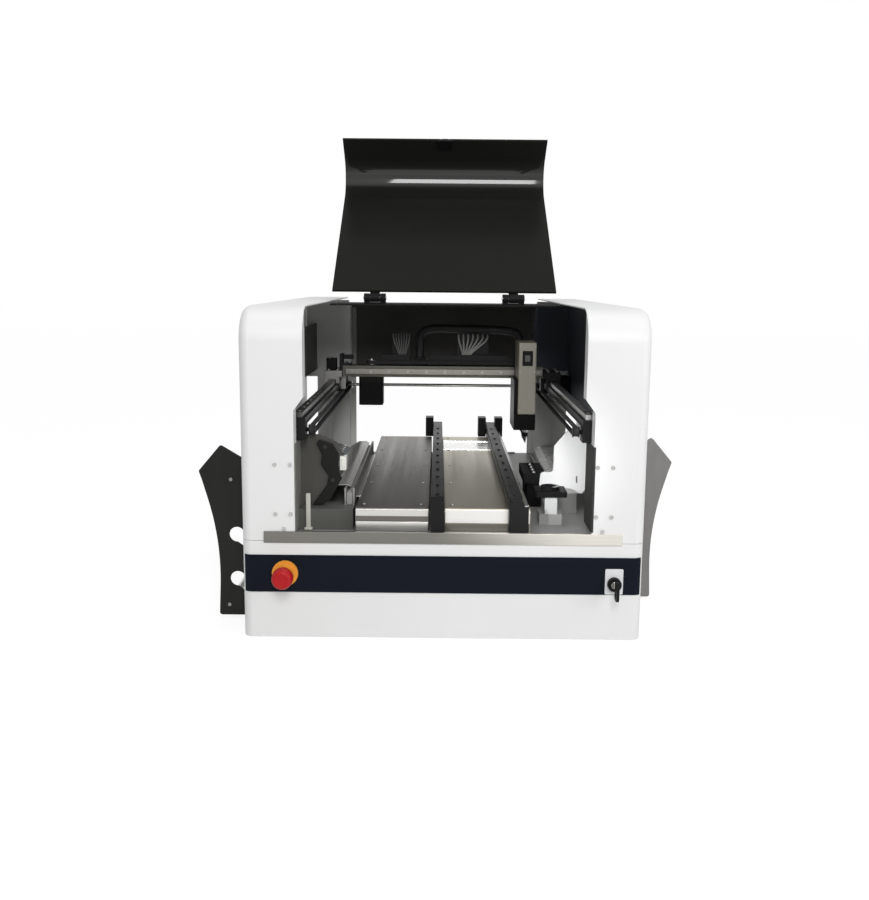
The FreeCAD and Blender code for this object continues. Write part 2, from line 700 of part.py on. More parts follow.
def x_pulley(x, shaft_foot):
    """Flanged pulley on an upright shaft above the beam."""
    y = X_BEAM_MIDDLE_Y
    wheel = rod((x, y, X_BELT_Z[0]), (x, y, X_BELT_Z[1]), X_PULLEY_R)
    rims = []
    for z in (X_BELT_Z[0] - PULLEY_RIM_T, X_BELT_Z[1]):
        rims.append(rod((x, y, z), (x, y, z + PULLEY_RIM_T), X_PULLEY_R + PULLEY_RIM))
    shaft = rod((x, y, shaft_foot), (x, y, X_BELT_Z[1] + 3.0), X_AXLE_R)
    return fuse(wheel, shaft, *rims)


def cable_sleeve():
    """Sleeve full of head cables, from a bracket on the beam over to the post on the head."""
    foot_x, foot_y, foot_z = SLEEVE_FOOT
    end_x, end_y, end_z = SLEEVE_END
    route = [
        SLEEVE_FOOT, (foot_x, foot_y, SLEEVE_TOP_Z),
        (end_x, end_y, SLEEVE_TOP_Z), (end_x, end_y, end_z + CLEAR)]
    sleeve = bent_tube(route, SLEEVE_BEND, SLEEVE_R)
    bracket_y = (X_BEAM_Y[1] - 6.0, foot_y + SLEEVE_R + 2.0)
    bracket = box(span(foot_x, 30.0), bracket_y, (X_BEAM_Z[1], foot_z))
    return fuse(sleeve, bracket)


# Placement head

def head_block():
    """Carriage on the X guide, belt clamp, cable post and the lower block that guides the spindles."""
    x = span(HEAD_X, 2 * HEAD_HALF)
    carriage_y = (HEAD_Y[1], X_BEAM_Y[0] - CLEAR)
    carriage_z = (X_BEAM_Z[0] + CLEAR, X_BEAM_Z[1] + 12.0)
    carriage = box(x, carriage_y, carriage_z)
    guide_room = box(
        (x[0] - 1, x[1] + 1),
        (X_GUIDE_Y[0] - CLEAR, X_GUIDE_Y[1] + 1),
        (X_GUIDE_Z[0] - CLEAR, X_GUIDE_Z[1] + CLEAR))
    belt_front = X_BEAM_MIDDLE_Y - X_PULLEY_R - RUNNING - BELT_T
    clamp = box(span(HEAD_X - 2, 14.0), (carriage_y[1] - 2, belt_front - CLEAR), X_BELT_Z)
    strip_w = 6.5
    lower_x = (x[0] - strip_w, x[1])
    lower = box(lower_x, HEAD_Y, BLOCK_Z)
    back = box(x, (HEAD_Y[1] - HEAD_BACK_T, HEAD_Y[1]), (BLOCK_Z[1], carriage_z[0] + 10.0))
    side_strip = box((lower_x[0], x[0]), (HEAD_Y[0] + 4.0, HEAD_Y[1]), (BLOCK_Z[1], carriage_z[0] + 6.0))
    post_x, post_y = span(SLEEVE_END[0], 16.0), span(SLEEVE_END[1], 10.0)
    post = box(post_x, post_y, (carriage_z[1] - 11.0, SLEEVE_END[2]))
    saddle = box(post_x, span(SLEEVE_END[1], 16.0), (SLEEVE_END[2] - 4.0, SLEEVE_END[2]))
    block = fuse(cut(carriage, guide_room), clamp, lower, back, side_strip, post, saddle)
    bores = []
    for y in SPINDLE_YS:
        bores.append(rod((HEAD_X, y, BLOCK_Z[0] - 1), (HEAD_X, y, BLOCK_Z[1] + 1), SPINDLE_R + RUNNING))
    return cut(block, *bores)


def head_housing():
    """Grey-beige cover over the spindle drives, open below where it meets the block."""
    x = span(HEAD_X, 2 * HEAD_HALF)
    y = (HEAD_Y[0], HEAD_Y[1] - HEAD_BACK_T)
    wall, corner_r = 1.5, 3.0
    corners = [(x[0], y[0], corner_r), (x[1], y[0], corner_r), (x[1], y[1]), (x[0], y[1])]
    outer = prism("xy", corners, BLOCK_Z[1], HEAD_TOP)
    inner = box((x[0] + wall, x[1] - wall), (y[0] + wall, y[1] - wall), (BLOCK_Z[1] - 1, HEAD_TOP - wall))
    window_half, window_z = 9.0, (350.0, 376.0)
    window = box(span(HEAD_X, 2 * window_half), (y[0] - 1, y[0] + 3), window_z)
    return cut(outer, inner, window)


def spindle(y):
    """Hollow Z slider that a nozzle turns in."""
    collar_z = (BLOCK_Z[1] + SPINDLE_TRAVEL + 2.0, BLOCK_Z[1] + SPINDLE_TRAVEL + 12.0)
    sleeve = rod((HEAD_X, y, SPINDLE_FOOT), (HEAD_X, y, SPINDLE_TOP), SPINDLE_R)
    collar = rod((HEAD_X, y, collar_z[0]), (HEAD_X, y, collar_z[1]), SPINDLE_R + 3.0)
    bore = rod((HEAD_X, y, SPINDLE_FOOT - 1), (HEAD_X, y, SPINDLE_TOP + 1), SHANK_R + RUNNING)
    return cut(fuse(sleeve, collar), bore)


def nozzle(y):
    """Turning nozzle with its shank inside the spindle and a knob above it."""
    holder_top = SPINDLE_FOOT - RUNNING
    holder_foot = holder_top - 7.0
    knob_z = (SPINDLE_TOP + 1.0, SPINDLE_TOP + 8.0)
    shank = rod((HEAD_X, y, holder_top - 1), (HEAD_X, y, knob_z[1]), SHANK_R)
    holder = rod((HEAD_X, y, holder_foot), (HEAD_X, y, holder_top), 4.5)
    tip = Part.makeCone(0.9, 3.0, holder_foot - NOZZLE_TIP_Z, Vector(HEAD_X, y, NOZZLE_TIP_Z))
    knob = rod((HEAD_X, y, knob_z[0]), (HEAD_X, y, knob_z[1]), 5.0)
    return fuse(shank, holder, tip, knob)


# Fixtures beside the board

def up_camera():
    """Upward camera: pale body on a foot, black top plate with a round lens."""
    x, y = (134.0, 179.0), (-278.0, -232.0)
    inset_x, inset_y, top_z = 13.5, 5.0, (188.0, 196.0)
    foot_inset, foot_top = 6.0, 162.0
    body = box((x[0] + inset_x, x[1] - inset_x), (y[0] + inset_y, y[1] - inset_y), (foot_top, top_z[0]))
    block_x, block_y = (x[0] + foot_inset, x[1] - foot_inset), (y[0] + foot_inset, y[1] - foot_inset)
    block = box(block_x, block_y, (BED_Z[1], foot_top))
    top = prism("xy", rounded_box(x, y, 3.0), *top_z)
    ring_r, ring_bore, ring_h = 14.0, 9.0, 5.0
    foot = (sum(x) / 2, sum(y) / 2, top_z[1])
    head = (foot[0], foot[1], top_z[1] + ring_h)
    ring = cut(rod(foot, head, ring_r), rod(foot, (head[0], head[1], head[2] + 1), ring_bore))
    lens_r, crown = 20.0, 2.5
    lens = Part.makeSphere(lens_r, Vector(foot[0], foot[1], top_z[1] + crown - lens_r))
    lens = lens.common(rod(foot, head, ring_bore - 0.5))
    return Part.makeCompound([block, body, fuse(top, ring), lens])


def nozzle_rack():
    """Black block with a row of sockets for spare nozzles."""
    x, y, tray_z = (126.0, 160.0), (-160.0, -64.0), (184.0, 200.0)
    inset = 6.0
    post = box((x[0] + inset, x[1] - inset), (y[0] + inset, y[1] - inset), (BED_Z[1], tray_z[0]))
    tray = box(x, y, tray_z)
    socket_count, socket_pitch, socket_r, socket_depth = 4, 22.0, 7.0, 12.0
    middle_x = sum(x) / 2
    sockets = []
    for index in range(socket_count):
        socket_y = y[0] + 15.0 + index * socket_pitch
        foot, mouth = tray_z[1] - socket_depth, tray_z[1] + 1
        sockets.append(rod((middle_x, socket_y, foot), (middle_x, socket_y, mouth), socket_r))
    return fuse(post, cut(tray, *sockets))


# Inside the base

def power_supply():
    case = box((-170.0, -58.0), (80.0, 290.0), (FLOOR_TOP, FLOOR_TOP + 50.0))
    terminals = box((-160.0, -68.0), (66.0, 80.0), (FLOOR_TOP + 10, FLOOR_TOP + 30.0))
    return fuse(case, terminals)


def controller_board():
    """Circuit board on pillars, with its connectors and main chip."""
    x, y = (-20.0, 170.0), (60.0, 290.0)
    board_z = (FLOOR_TOP + 10.0, FLOOR_TOP + 11.6)
    pieces = [box(x, y, board_z)]
    inset = 8.0
    for px in (x[0] + inset, x[1] - inset):
        for py in (y[0] + inset, y[1] - inset):
            pieces.append(rod((px, py, FLOOR_TOP), (px, py, board_z[0]), 4.0))
    plug_count, plug_pitch, plug_w = 6, 28.0, 20.0
    for index in range(plug_count):
        middle = x[0] + 25.0 + index * plug_pitch
        pieces.append(box(span(middle, plug_w), (y[0] + 2, y[0] + 12), (board_z[1], board_z[1] + 9.0)))
    chip_x, chip_y = (60.0, 92.0), (160.0, 192.0)
    pieces.append(box(chip_x, chip_y, (board_z[1], board_z[1] + 2.0)))
    return fuse(*pieces)


def vacuum_pumps():
    """Two small diaphragm pumps lying on the floor tray."""
    radius, head_side = 22.0, 50.0
    head_y, motor_y, cradle_y = (-280.0, -230.0), (-230.0, -140.0), (-220.0, -150.0)
    pumps = []
    for x in (-110.0, -40.0):
        z = FLOOR_TOP + radius + 4.0
        motor = rod((x, motor_y[0], z), (x, motor_y[1], z), radius)
        head = box(span(x, head_side), head_y, span(z, head_side))
        cradle = box(span(x, 30.0), cradle_y, (FLOOR_TOP, z - 12.0))
        pumps.append(fuse(motor, head, cradle))
    return Part.makeCompound(pumps)


def mains_inlet():
    """Inlet socket in the rear panel with three contact pins."""
    flange = box(span(INLET_X, 50.0), (REAR - 2.0, REAR + 1.0), span(INLET_Z, 24.0))
    body = box(span(INLET_X, 26.6), (REAR - 30.0, REAR - 2.0), span(INLET_Z, 19.6))
    well = box(span(INLET_X, 24.0), (REAR - 18.0, REAR + 2.0), span(INLET_Z, 16.5))
    shell = cut(fuse(flange, body), well)
    pins = []
    for x, z in ((-7.0, -2.5), (0.0, 2.5), (7.0, -2.5)):
        pins.append(box(span(INLET_X + x, 2.0), (REAR - 18.5, REAR - 4.0), span(INLET_Z + z, 4.0)))
    return fuse(shell, *pins)


# Controls on the front

def estop_bar(near, far, radius):
    """Round bar on the emergency stop's axis, from one depth to another."""
    return rod((ESTOP_X, near, ESTOP_Z), (ESTOP_X, far, ESTOP_Z), radius)


def estop_collar():
    """Yellow collar on the band, with the threaded barrel and contact block behind the panel."""
    plate_t, plate_r, neck_r = 4.0, 18.0, 13.0
    barrel_end, contacts_end = FRONT + 20.0, FRONT + 54.0
    plate = estop_bar(BAND_FACE, BAND_FACE - plate_t, plate_r)
    neck = estop_bar(BAND_FACE - plate_t, BAND_FACE - ESTOP_NECK, neck_r)
    barrel = estop_bar(BAND_FACE, barrel_end, ESTOP_HOLE_R - 0.2)
    contacts = box(span(ESTOP_X, 30.0), (barrel_end, contacts_end), span(ESTOP_Z, 34.0))
    well = estop_bar(BAND_FACE - ESTOP_NECK - 1, barrel_end - 4.0, ESTOP_STEM_R + RUNNING)
    return cut(fuse(plate, neck, barrel, contacts), well)


def estop_button():
    """Red mushroom button with its stem."""
    cap_r, rim_r = 14.5, 4.0
    cap_back, cap_face = BAND_FACE - ESTOP_NECK - ESTOP_TRAVEL - CLEAR, -REACH_Y
    stem = estop_bar(cap_back, FRONT + 8.0, ESTOP_STEM_R)
    cap = estop_bar(cap_back, cap_face, cap_r)
    rim = [e for e in cap.Edges if abs(e.CenterOfMass.y - cap_face) < 0.1 and e.Length > 2 * cap_r]
    return fuse(cap.makeFillet(rim_r, rim), stem)


def key_bar(near, far, radius):
    """Round bar on the lock's axis, from one depth to another."""
    return rod((KEY_X, near, KEY_Z), (KEY_X, far, KEY_Z), radius)


def key_switch_body():
    """Pale legend plate, round bezel and lock barrel with its contact block."""
    plate_t, plate_w, plate_z, bezel_reach = 1.2, 25.0, (67.5, 104.0), 9.0
    barrel_end, contacts_end = FRONT + 22.0, FRONT + 48.0
    plate_face = BAND_FACE - plate_t
    plate = prism("xz", rounded_box(span(KEY_X, plate_w), plate_z, 2.0), plate_face, BAND_FACE)
    bezel = key_bar(plate_face, BAND_FACE - bezel_reach, 9.5)
    barrel = key_bar(BAND_FACE, barrel_end, KEY_HOLE_R - 0.2)
    contacts = box(span(KEY_X, 26.0), (barrel_end, contacts_end), span(KEY_Z, 30.0))
    bore = key_bar(BAND_FACE - bezel_reach - 1, FRONT + 14.0, KEY_CORE_R + RUNNING)
    return cut(fuse(plate, bezel, barrel, contacts), bore)


def key():
    """Lock core with the key in it: blade, bow and the bow's hole."""
    core_face, bow_back = BAND_FACE - 10.0, BAND_FACE - 16.0
    core = key_bar(core_face, FRONT + 13.0, KEY_CORE_R)
    blade = box(span(KEY_X, 2.0), (bow_back, core_face), span(KEY_Z, 8.0))
    bow_half, bow_y, bow_z = 1.8, (-REACH_Y + 3.0, bow_back), (KEY_Z - 17.0, KEY_Z + 9.0)
    bow = prism("yz", rounded_box(bow_y, bow_z, 6.0), KEY_X - bow_half, KEY_X + bow_half)
    eye_y, eye_z, eye_r = bow_back - 10.0, KEY_Z - 9.0, 3.0
    eye = rod((KEY_X - 2 * bow_half, eye_y, eye_z), (KEY_X + 2 * bow_half, eye_y, eye_z), eye_r)
    return cut(fuse(core, blade, bow), eye)


# Lid and its hinges

def at_hinges(shape):
    """Copies of a piece drawn at X = 0, one at each hinge."""
    places = []
    for x in (-HINGE_X, HINGE_X):
        copy = shape.copy()
        copy.translate(Vector(x, 0, 0))
        places.append(copy)
    return Part.makeCompound(places)


def opened(shape):
    """Turn a piece from the closed pose to the open one."""
    turned = shape.copy()
    turned.rotate(Vector(0, HINGE_Y, HINGE_Z), Vector(1, 0, 0), -LID_OPEN)
    return turned


def lid_hinge_bases():
    """Fixed hinge halves on the top cover, each with two knuckles."""
    plate = box(span(0, HINGE_W), (HINGE_Y - 3.0, HINGE_Y + 26.0), (HINGE_FOOT, HINGE_FOOT + 2.5))
    pieces = [plate]
    for side in (-1, 1):
        x = sorted((side * (KNUCKLE_W / 2 + CLEAR), side * HINGE_W / 2))
        pieces.append(box(x, (HINGE_Y - 3.0, HINGE_Y + 6.5), (HINGE_FOOT, HINGE_Z)))
        pieces.append(rod((x[0], HINGE_Y, HINGE_Z), (x[1], HINGE_Y, HINGE_Z), KNUCKLE_R))
    base = cut(fuse(*pieces), rod((-HINGE_W, HINGE_Y, HINGE_Z), (HINGE_W, HINGE_Y, HINGE_Z), PIN_R))
    return at_hinges(base)


def lid_hinge_pins():
    half = HINGE_W / 2 + 1.0
    return at_hinges(rod((-half, HINGE_Y, HINGE_Z), (half, HINGE_Y, HINGE_Z), PIN_R))


def lid_hinge_leaves():
    """Moving hinge halves: a knuckle and a leaf screwed to the outside of the lid."""
    leaf_t = 2.5
    knuckle = rod((-KNUCKLE_W / 2, HINGE_Y, HINGE_Z), (KNUCKLE_W / 2, HINGE_Y, HINGE_Z), KNUCKLE_R)
    neck = box(span(0, KNUCKLE_W), (HINGE_Y - 12.0, HINGE_Y), (LID_TOP, LID_TOP + leaf_t))
    leaf = box(span(0, HINGE_W), (HINGE_Y - 46.0, HINGE_Y - 10.0), (LID_TOP, LID_TOP + leaf_t))
    bore = rod((-HINGE_W, HINGE_Y, HINGE_Z), (HINGE_W, HINGE_Y, HINGE_Z), PIN_R + RUNNING)
    return opened(at_hinges(cut(fuse(knuckle, neck, leaf), bore)))


def lid_panel():
    """Tinted sheet, flat from the hinges and bent over at its free edge, with a small finger notch there."""
    start_y = HINGE_Y - 5.5
    turn = math.radians(LID_TURN)
    outer_r = LID_BEND_R + LID_T
    run = outer_r * math.tan(turn / 2)
    corner_y = start_y - LID_FLAT - run
    lip = run + LID_LIP
    tip = (corner_y - lip * math.cos(turn), LID_TOP - lip * math.sin(turn))
    path = [(start_y, LID_TOP), (corner_y, LID_TOP), tip]
    sheet = folded_sheet("yz", path, LID_T, LID_BEND_R, -LID_HALF_W, LID_HALF_W)
    notch_r, notch_drop = 9.0, 4.0
    notch_z = tip[1] - notch_drop
    notch = rod((0, tip[0] - LID_T * 2, notch_z), (0, tip[0] + LID_T * 2, notch_z), notch_r)
    return opened(cut(sheet, notch))


# Fasteners

def cover_screws():
    """Cap screws on the front columns and on the reel racks' flanges."""
    head_r, head_t = 3.0, 1.8
    screws = []
    column = [(209.5, 246.0), (230.5, 246.0), (209.5, 177.0), (230.5, 177.0), (219.0, 156.5)]
    for x, z in column:
        for side in (-1, 1):
            screws.append(rod((side * x, FRONT, z), (side * x, FRONT - head_t, z), head_r))
    face = HALF_W + SHEET
    for side, front_y in ((-1, RACK_FRONT_LEFT), (1, RACK_FRONT_RIGHT)):
        for y in (front_y - 12.0, RACK_REAR + 12.0):
            for z in (40.0, 126.0, 212.0):
                screws.append(rod((side * face, y, z), (side * (face + head_t), y, z), head_r))
    return Part.makeCompound(screws)


NODES = {
    "rubber_feet": rubber_feet(),
    "base_frame": base_frame(),
    "front_panel": front_panel(),
    "front_band": front_band(),
    "front_sill": front_sill(),
    "left_side_cover": mirrored(side_cover(WINDOW_Y_LEFT)),
    "right_side_cover": side_cover(WINDOW_Y_RIGHT),
    "rear_panel": rear_panel(),
    "top_cover": top_cover(),
    "side_liners": side_liners(),
    "bed_plate": bed_plate(),
    "table_plates": table_plates(),
    "feeder_bases": feeder_bases(),
    "tape_feeders": tape_feeders(),
    "feeder_end_plates": feeder_end_plates(),
    "left_reel_rack": mirrored(reel_rack(RACK_FRONT_LEFT, RACK_REAR)),
    "right_reel_rack": reel_rack(RACK_FRONT_RIGHT, RACK_REAR),
    "gantry_posts": gantry_posts(),
    "y_beams": y_beams(),
    "y_guide_rails": y_guide_rails(),
    "y_belts": y_belts(),
    "y_motor": y_motor(),
    "y_sync_shaft": y_sync_shaft(),
    "y_idler_pulleys": y_idler_pulleys(),
    "fixed_board_rail": board_rail(RAIL_FIXED_X, 1, (-1,), 0.0),
    "movable_board_rail": board_rail(RAIL_MOVING_X, -1, (-1, 1), 9.0),
    "cross_guides": cross_guides(),
    "y_carriages": y_carriages(),
    "x_beam": x_beam(),
    "x_guide_rail": x_guide_rail(),
    "x_motor": x_motor(),
    "x_belt": x_belt(),
    "x_drive_pulley": x_pulley(X_MOTOR_X, X_BEAM_Z[0] - 10.0),
    "x_idler_pulley": x_pulley(X_IDLER_X, X_BEAM_Z[0] + 2.0),
    "cable_sleeve": cable_sleeve(),
    "head_block": head_block(),
    "head_housing": head_housing(),
    "up_camera": up_camera(),
    "nozzle_rack": nozzle_rack(),
    "power_supply": power_supply(),
    "controller_board": controller_board(),
    "vacuum_pumps": vacuum_pumps(),
    "mains_inlet": mains_inlet(),
    "estop_collar": estop_collar(),
    "estop_button": estop_button(),
    "key_switch_body": key_switch_body(),
    "key": key(),
    "lid_hinge_bases": lid_hinge_bases(),
    "lid_hinge_pins": lid_hinge_pins(),
    "lid_hinge_leaves": lid_hinge_leaves(),
    "lid_panel": lid_panel(),
    "cover_screws": cover_screws(),
}
for number, spindle_y in enumerate(SPINDLE_YS, start=1):
    NODES[f"spindle_{number}"] = spindle(spindle_y)
    NODES[f"nozzle_{number}"] = nozzle(spindle_y)

os.makedirs("parts", exist_ok=True)
for name, shape in NODES.items():
    shape.exportStep(f"parts/{name}.step")
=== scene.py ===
import json
import math

import bmesh
import bpy
from mathutils import Matrix, Vector

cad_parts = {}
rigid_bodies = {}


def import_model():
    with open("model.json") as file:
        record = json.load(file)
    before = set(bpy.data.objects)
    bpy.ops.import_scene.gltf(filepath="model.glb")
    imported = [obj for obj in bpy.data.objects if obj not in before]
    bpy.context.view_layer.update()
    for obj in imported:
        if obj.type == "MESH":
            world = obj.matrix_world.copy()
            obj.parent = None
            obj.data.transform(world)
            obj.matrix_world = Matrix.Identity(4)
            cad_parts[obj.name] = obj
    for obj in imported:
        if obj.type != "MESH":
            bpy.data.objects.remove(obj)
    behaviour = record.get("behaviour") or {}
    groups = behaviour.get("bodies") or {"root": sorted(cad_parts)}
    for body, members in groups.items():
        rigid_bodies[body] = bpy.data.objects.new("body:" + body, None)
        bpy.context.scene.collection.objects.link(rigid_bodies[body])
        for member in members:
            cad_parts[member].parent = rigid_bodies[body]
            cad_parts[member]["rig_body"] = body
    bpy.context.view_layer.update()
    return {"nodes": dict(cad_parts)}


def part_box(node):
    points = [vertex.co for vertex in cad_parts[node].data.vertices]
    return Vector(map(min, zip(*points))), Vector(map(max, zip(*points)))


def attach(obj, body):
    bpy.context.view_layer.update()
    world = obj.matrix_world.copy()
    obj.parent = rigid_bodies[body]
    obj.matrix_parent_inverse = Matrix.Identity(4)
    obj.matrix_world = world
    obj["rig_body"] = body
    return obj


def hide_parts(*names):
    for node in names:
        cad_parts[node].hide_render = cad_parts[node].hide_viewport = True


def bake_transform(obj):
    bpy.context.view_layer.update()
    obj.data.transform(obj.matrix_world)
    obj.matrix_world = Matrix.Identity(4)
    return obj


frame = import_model()


# Rubber feet
# Four turned rubber pads under the corners of the floor tray, each held by one screw from inside.
# They are soft black rubber, slightly chalky from the bench.

class Shade:
    """A number that changes over a surface or along a pattern, so that nodes can be written as sums."""

    def __init__(self, wiring, socket):
        self.wiring = wiring
        self.socket = socket

    def sum(self, operation, first, second):
        return self.wiring.node("ShaderNodeMath", {"operation": operation}, first, second)

    def __add__(self, other):
        return self.sum("ADD", self, other)

    def __radd__(self, other):
        return self.sum("ADD", other, self)

    def __sub__(self, other):
        return self.sum("SUBTRACT", self, other)

    def __rsub__(self, other):
        return self.sum("SUBTRACT", other, self)

    def __mul__(self, other):
        return self.sum("MULTIPLY", self, other)

    def __rmul__(self, other):
        return self.sum("MULTIPLY", other, self)


class Wiring:
    """A node tree. One method adds any node: its settings first, then its sockets' values or links."""

    def __init__(self, tree):
        self.tree = tree

    def node(self, kind, settings=None, *values, out=0, **named):
        made = self.tree.nodes.new(kind)
        for key, value in (settings or {}).items():
            setattr(made, key, value)
        sockets = list(enumerate(values))
        sockets += [(name.replace("_", " "), value) for name, value in named.items()]
        for key, value in sockets:
            if isinstance(value, Shade):
                self.tree.links.new(value.socket, made.inputs[key])
            elif value is not None:
                made.inputs[key].default_value = value
        return Shade(self, made.outputs[out]) if made.outputs else None


class Finish(Wiring):
    """One material, with the few textures that all of the machine's finishes share."""

    def __init__(self, name):
        self.material = bpy.data.materials.new(name)
        self.material.use_nodes = True
        super().__init__(self.material.node_tree)
        self.tree.nodes.clear()
        self.place = self.node("ShaderNodeTexCoord", out="Object")

    def axis(self, letter):
        return self.node("ShaderNodeSeparateXYZ", None, self.place, out=letter)

    def noise(self, scale, detail=2.0, stretch=None):
        place = self.place
        if stretch:
            place = self.node("ShaderNodeMapping", None, self.place, Scale=stretch)
        return self.node("ShaderNodeTexNoise", None, Vector=place, Scale=scale, Detail=detail)

    def lines(self, scale, detail, along, share=0.02):
        """Noise drawn out into lines along one axis."""
        return self.noise(scale, detail, [share if letter == along else 1.0 for letter in "XYZ"])

    def rise(self, value, low, high):
        """From 0 to 1 as a value goes from one limit to the other."""
        settings = {"interpolation_type": "SMOOTHSTEP"}
        return self.node("ShaderNodeMapRange", settings, value, low, high, 0.0, 1.0)

    def tint(self, share, first, second):
        colours = [c if isinstance(c, Shade) else (*c, 1.0) for c in (first, second)]
        settings = {"data_type": "RGBA"}
        return self.node("ShaderNodeMix", settings, share, None, None, None, None, None, *colours, out=2)

    def relief(self, height, strength, depth=0.0004):
        return self.node("ShaderNodeBump", None, Strength=strength, Distance=depth, Height=height)

    def surface(self, **sockets):
        shader = self.node("ShaderNodeBsdfPrincipled", None, **sockets)
        self.node("ShaderNodeOutputMaterial", None, shader)
        return self.material

    def coat(self, share, colour, dark, light, rough, grain, strength, **sockets):
        """A surface that goes from a dark to a light shade of one colour, with a fine relief."""
        tone = self.tint(share, shaded(colour, dark), shaded(colour, light))
        relief = self.relief(grain, strength)
        return self.surface(Base_Color=tone, Roughness=rough, Normal=relief, **sockets)


def shaded(colour, share):
    """A colour made darker or lighter, up to white."""
    return tuple(min(1.0, part * share) for part in colour)


def rubber(name, colour):
    """Soft rubber with a fine skin and a chalky bloom."""
    skin = Finish(name)
    bloom = skin.noise(60.0, 4.0)
    grain = skin.noise(1400.0)
    return skin.coat(bloom, colour, 0.7, 1.7, 0.7 + 0.2 * bloom, grain, 0.25)


def settled(piece):
    """Make what a piece's modifiers give into its plain mesh."""
    shown = piece.evaluated_get(bpy.context.evaluated_depsgraph_get())
    mesh = bpy.data.meshes.new_from_object(shown)
    piece.modifiers.clear()
    piece.data = mesh
    return piece


def added(name, mesh, *finishes):
    """Put a mesh into the scene as a piece, with its finishes in order."""
    piece = bpy.data.objects.new(name, mesh)
    bpy.context.scene.collection.objects.link(piece)
    for finish in finishes:
        mesh.materials.append(finish)
    return piece


def carried(piece, *nodes):
    """A piece that stands for CAD nodes rides on the first one's body, and the nodes are hidden."""
    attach(piece, frame["nodes"][nodes[0]]["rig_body"])
    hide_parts(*nodes)
    return piece


def eased(piece, width, steps=2):
    """Round a piece's sharp edges and shade it smooth, with its flat faces kept flat."""
    rounded_from, sharp_from = math.radians(32), math.radians(42)
    if width:
        bevel = piece.modifiers.new("eased edges", "BEVEL")
        bevel.width = width
        bevel.segments = steps
        bevel.limit_method = "ANGLE"
        bevel.angle_limit = rounded_from
        settled(piece)
    piece.data.shade_smooth()
    piece.data.set_sharp_from_angle(angle=sharp_from)
    weighted = piece.modifiers.new("flat faces", "WEIGHTED_NORMAL")
    weighted.keep_sharp = True
    return settled(piece)


def finished(node, *finishes, width=0.0004, pick=None):
    """A CAD node with eased edges and its finishes. Pick gives a face's finish from its middle."""
    mesh = frame["nodes"][node].data.copy()
    mesh.materials.clear()
    shape = bmesh.new()
    shape.from_mesh(mesh)
    bmesh.ops.remove_doubles(shape, verts=shape.verts, dist=2e-6)
    flat = math.radians(0.6)
    bmesh.ops.dissolve_limit(shape, angle_limit=flat, verts=shape.verts, edges=shape.edges)
    for face in shape.faces:
        face.material_index = pick(face.calc_center_median() * 1000) if pick else 0
    shape.to_mesh(mesh)
    shape.free()
    return carried(eased(added(node + "_finished", mesh, *finishes), width), node)


foot_rubber = rubber("foot rubber", (0.014, 0.014, 0.015))
finished("rubber_feet", foot_rubber, width=0.0008)


# Floor tray
# A folded steel tray with two welded channels that carry the bed. It is zinc plated, not painted.
# The plating shows the pale and dark crystals of galvanised sheet.

def zinc_plate(name, colour):
    """Galvanised sheet, where each crystal has its own tone and gloss."""
    plate = Finish(name)
    crystal = plate.node("ShaderNodeTexVoronoi", None, Vector=plate.place, Scale=140.0, out="Color")
    tone = plate.node("ShaderNodeSeparateColor", None, crystal)
    haze = plate.noise(30.0, 3.0)
    coat = plate.tint(0.6 * tone + 0.4 * haze, shaded(colour, 0.72), colour)
    return plate.surface(Base_Color=coat, Metallic=0.9, Roughness=0.34 + 0.18 * tone)


finished("base_frame", zinc_plate("tray zinc", (0.58, 0.59, 0.60)))


# Units inside the base
# The power supply, the controller board and two vacuum pumps are bought-in units on the floor tray.
# They have a plain metal case, a green board and moulded pump heads, and are screwed down.

def moulded(name, colour, roughness=0.5, level=0.4):
    """Injection-moulded plastic with a fine spark-eroded texture."""
    skin = Finish(name)
    cloud = skin.noise(24.0, 3.0)
    texture = skin.noise(900.0, 3.0)
    rough = roughness + 0.14 * (cloud - 0.5) + 0.1 * (texture - 0.5)
    return skin.coat(cloud, colour, 0.86, 1.12, rough, texture, 0.12, Specular_IOR_Level=level)


def brushed(name, colour, along, roughness=0.32, strength=0.1):
    """Metal brushed in one direction: long fine lines, with a slow drift of tone across the sheet."""
    metal = Finish(name)
    lines = metal.lines(900.0, 4.0, along)
    streaks = metal.lines(70.0, 3.0, along)
    drift = metal.noise(7.0)
    wear = 0.45 * lines + 0.35 * streaks + 0.2 * drift
    rough = roughness + 0.22 * (streaks - 0.5) + 0.16 * (lines - 0.5)
    return metal.coat(wear, colour, 0.78, 1.14, rough, lines, strength, Metallic=1.0)


def solder_mask(name):
    """Green circuit board, with a faint pattern of copper tracks under the mask."""
    board = Finish(name)
    cells = board.node(
        "ShaderNodeTexVoronoi", {"distance": "CHEBYCHEV"}, Vector=board.place, Scale=160.0)
    tracks = board.rise(cells, 0.32, 0.36) - board.rise(cells, 0.44, 0.48)
    tone = board.tint(tracks, (0.010, 0.085, 0.035), (0.022, 0.170, 0.075))
    return board.surface(Base_Color=tone, Roughness=0.34, Normal=board.relief(tracks, 0.2))


case_metal = brushed("plain metal case", (0.62, 0.62, 0.61), "Y", 0.4)
black_plastic = moulded("black plastic", (0.010, 0.010, 0.0105), 0.5, 0.08)
board_top = 16.5
finished("power_supply", case_metal)
finished(
    "controller_board", solder_mask("board green"), black_plastic,
    width=0.0, pick=lambda middle: int(middle.z > board_top))
finished("vacuum_pumps", black_plastic, width=0.0008)


# Mains inlet
# A black moulded inlet with its three pins, snapped into the rear panel at the lower left.
finished("mains_inlet", black_plastic, width=0.0005)


# Bed and cross guides
# A thick painted steel bed on the tray's channels, with two ground steel guides screwed across it.
# The movable board rail slides along those guides.

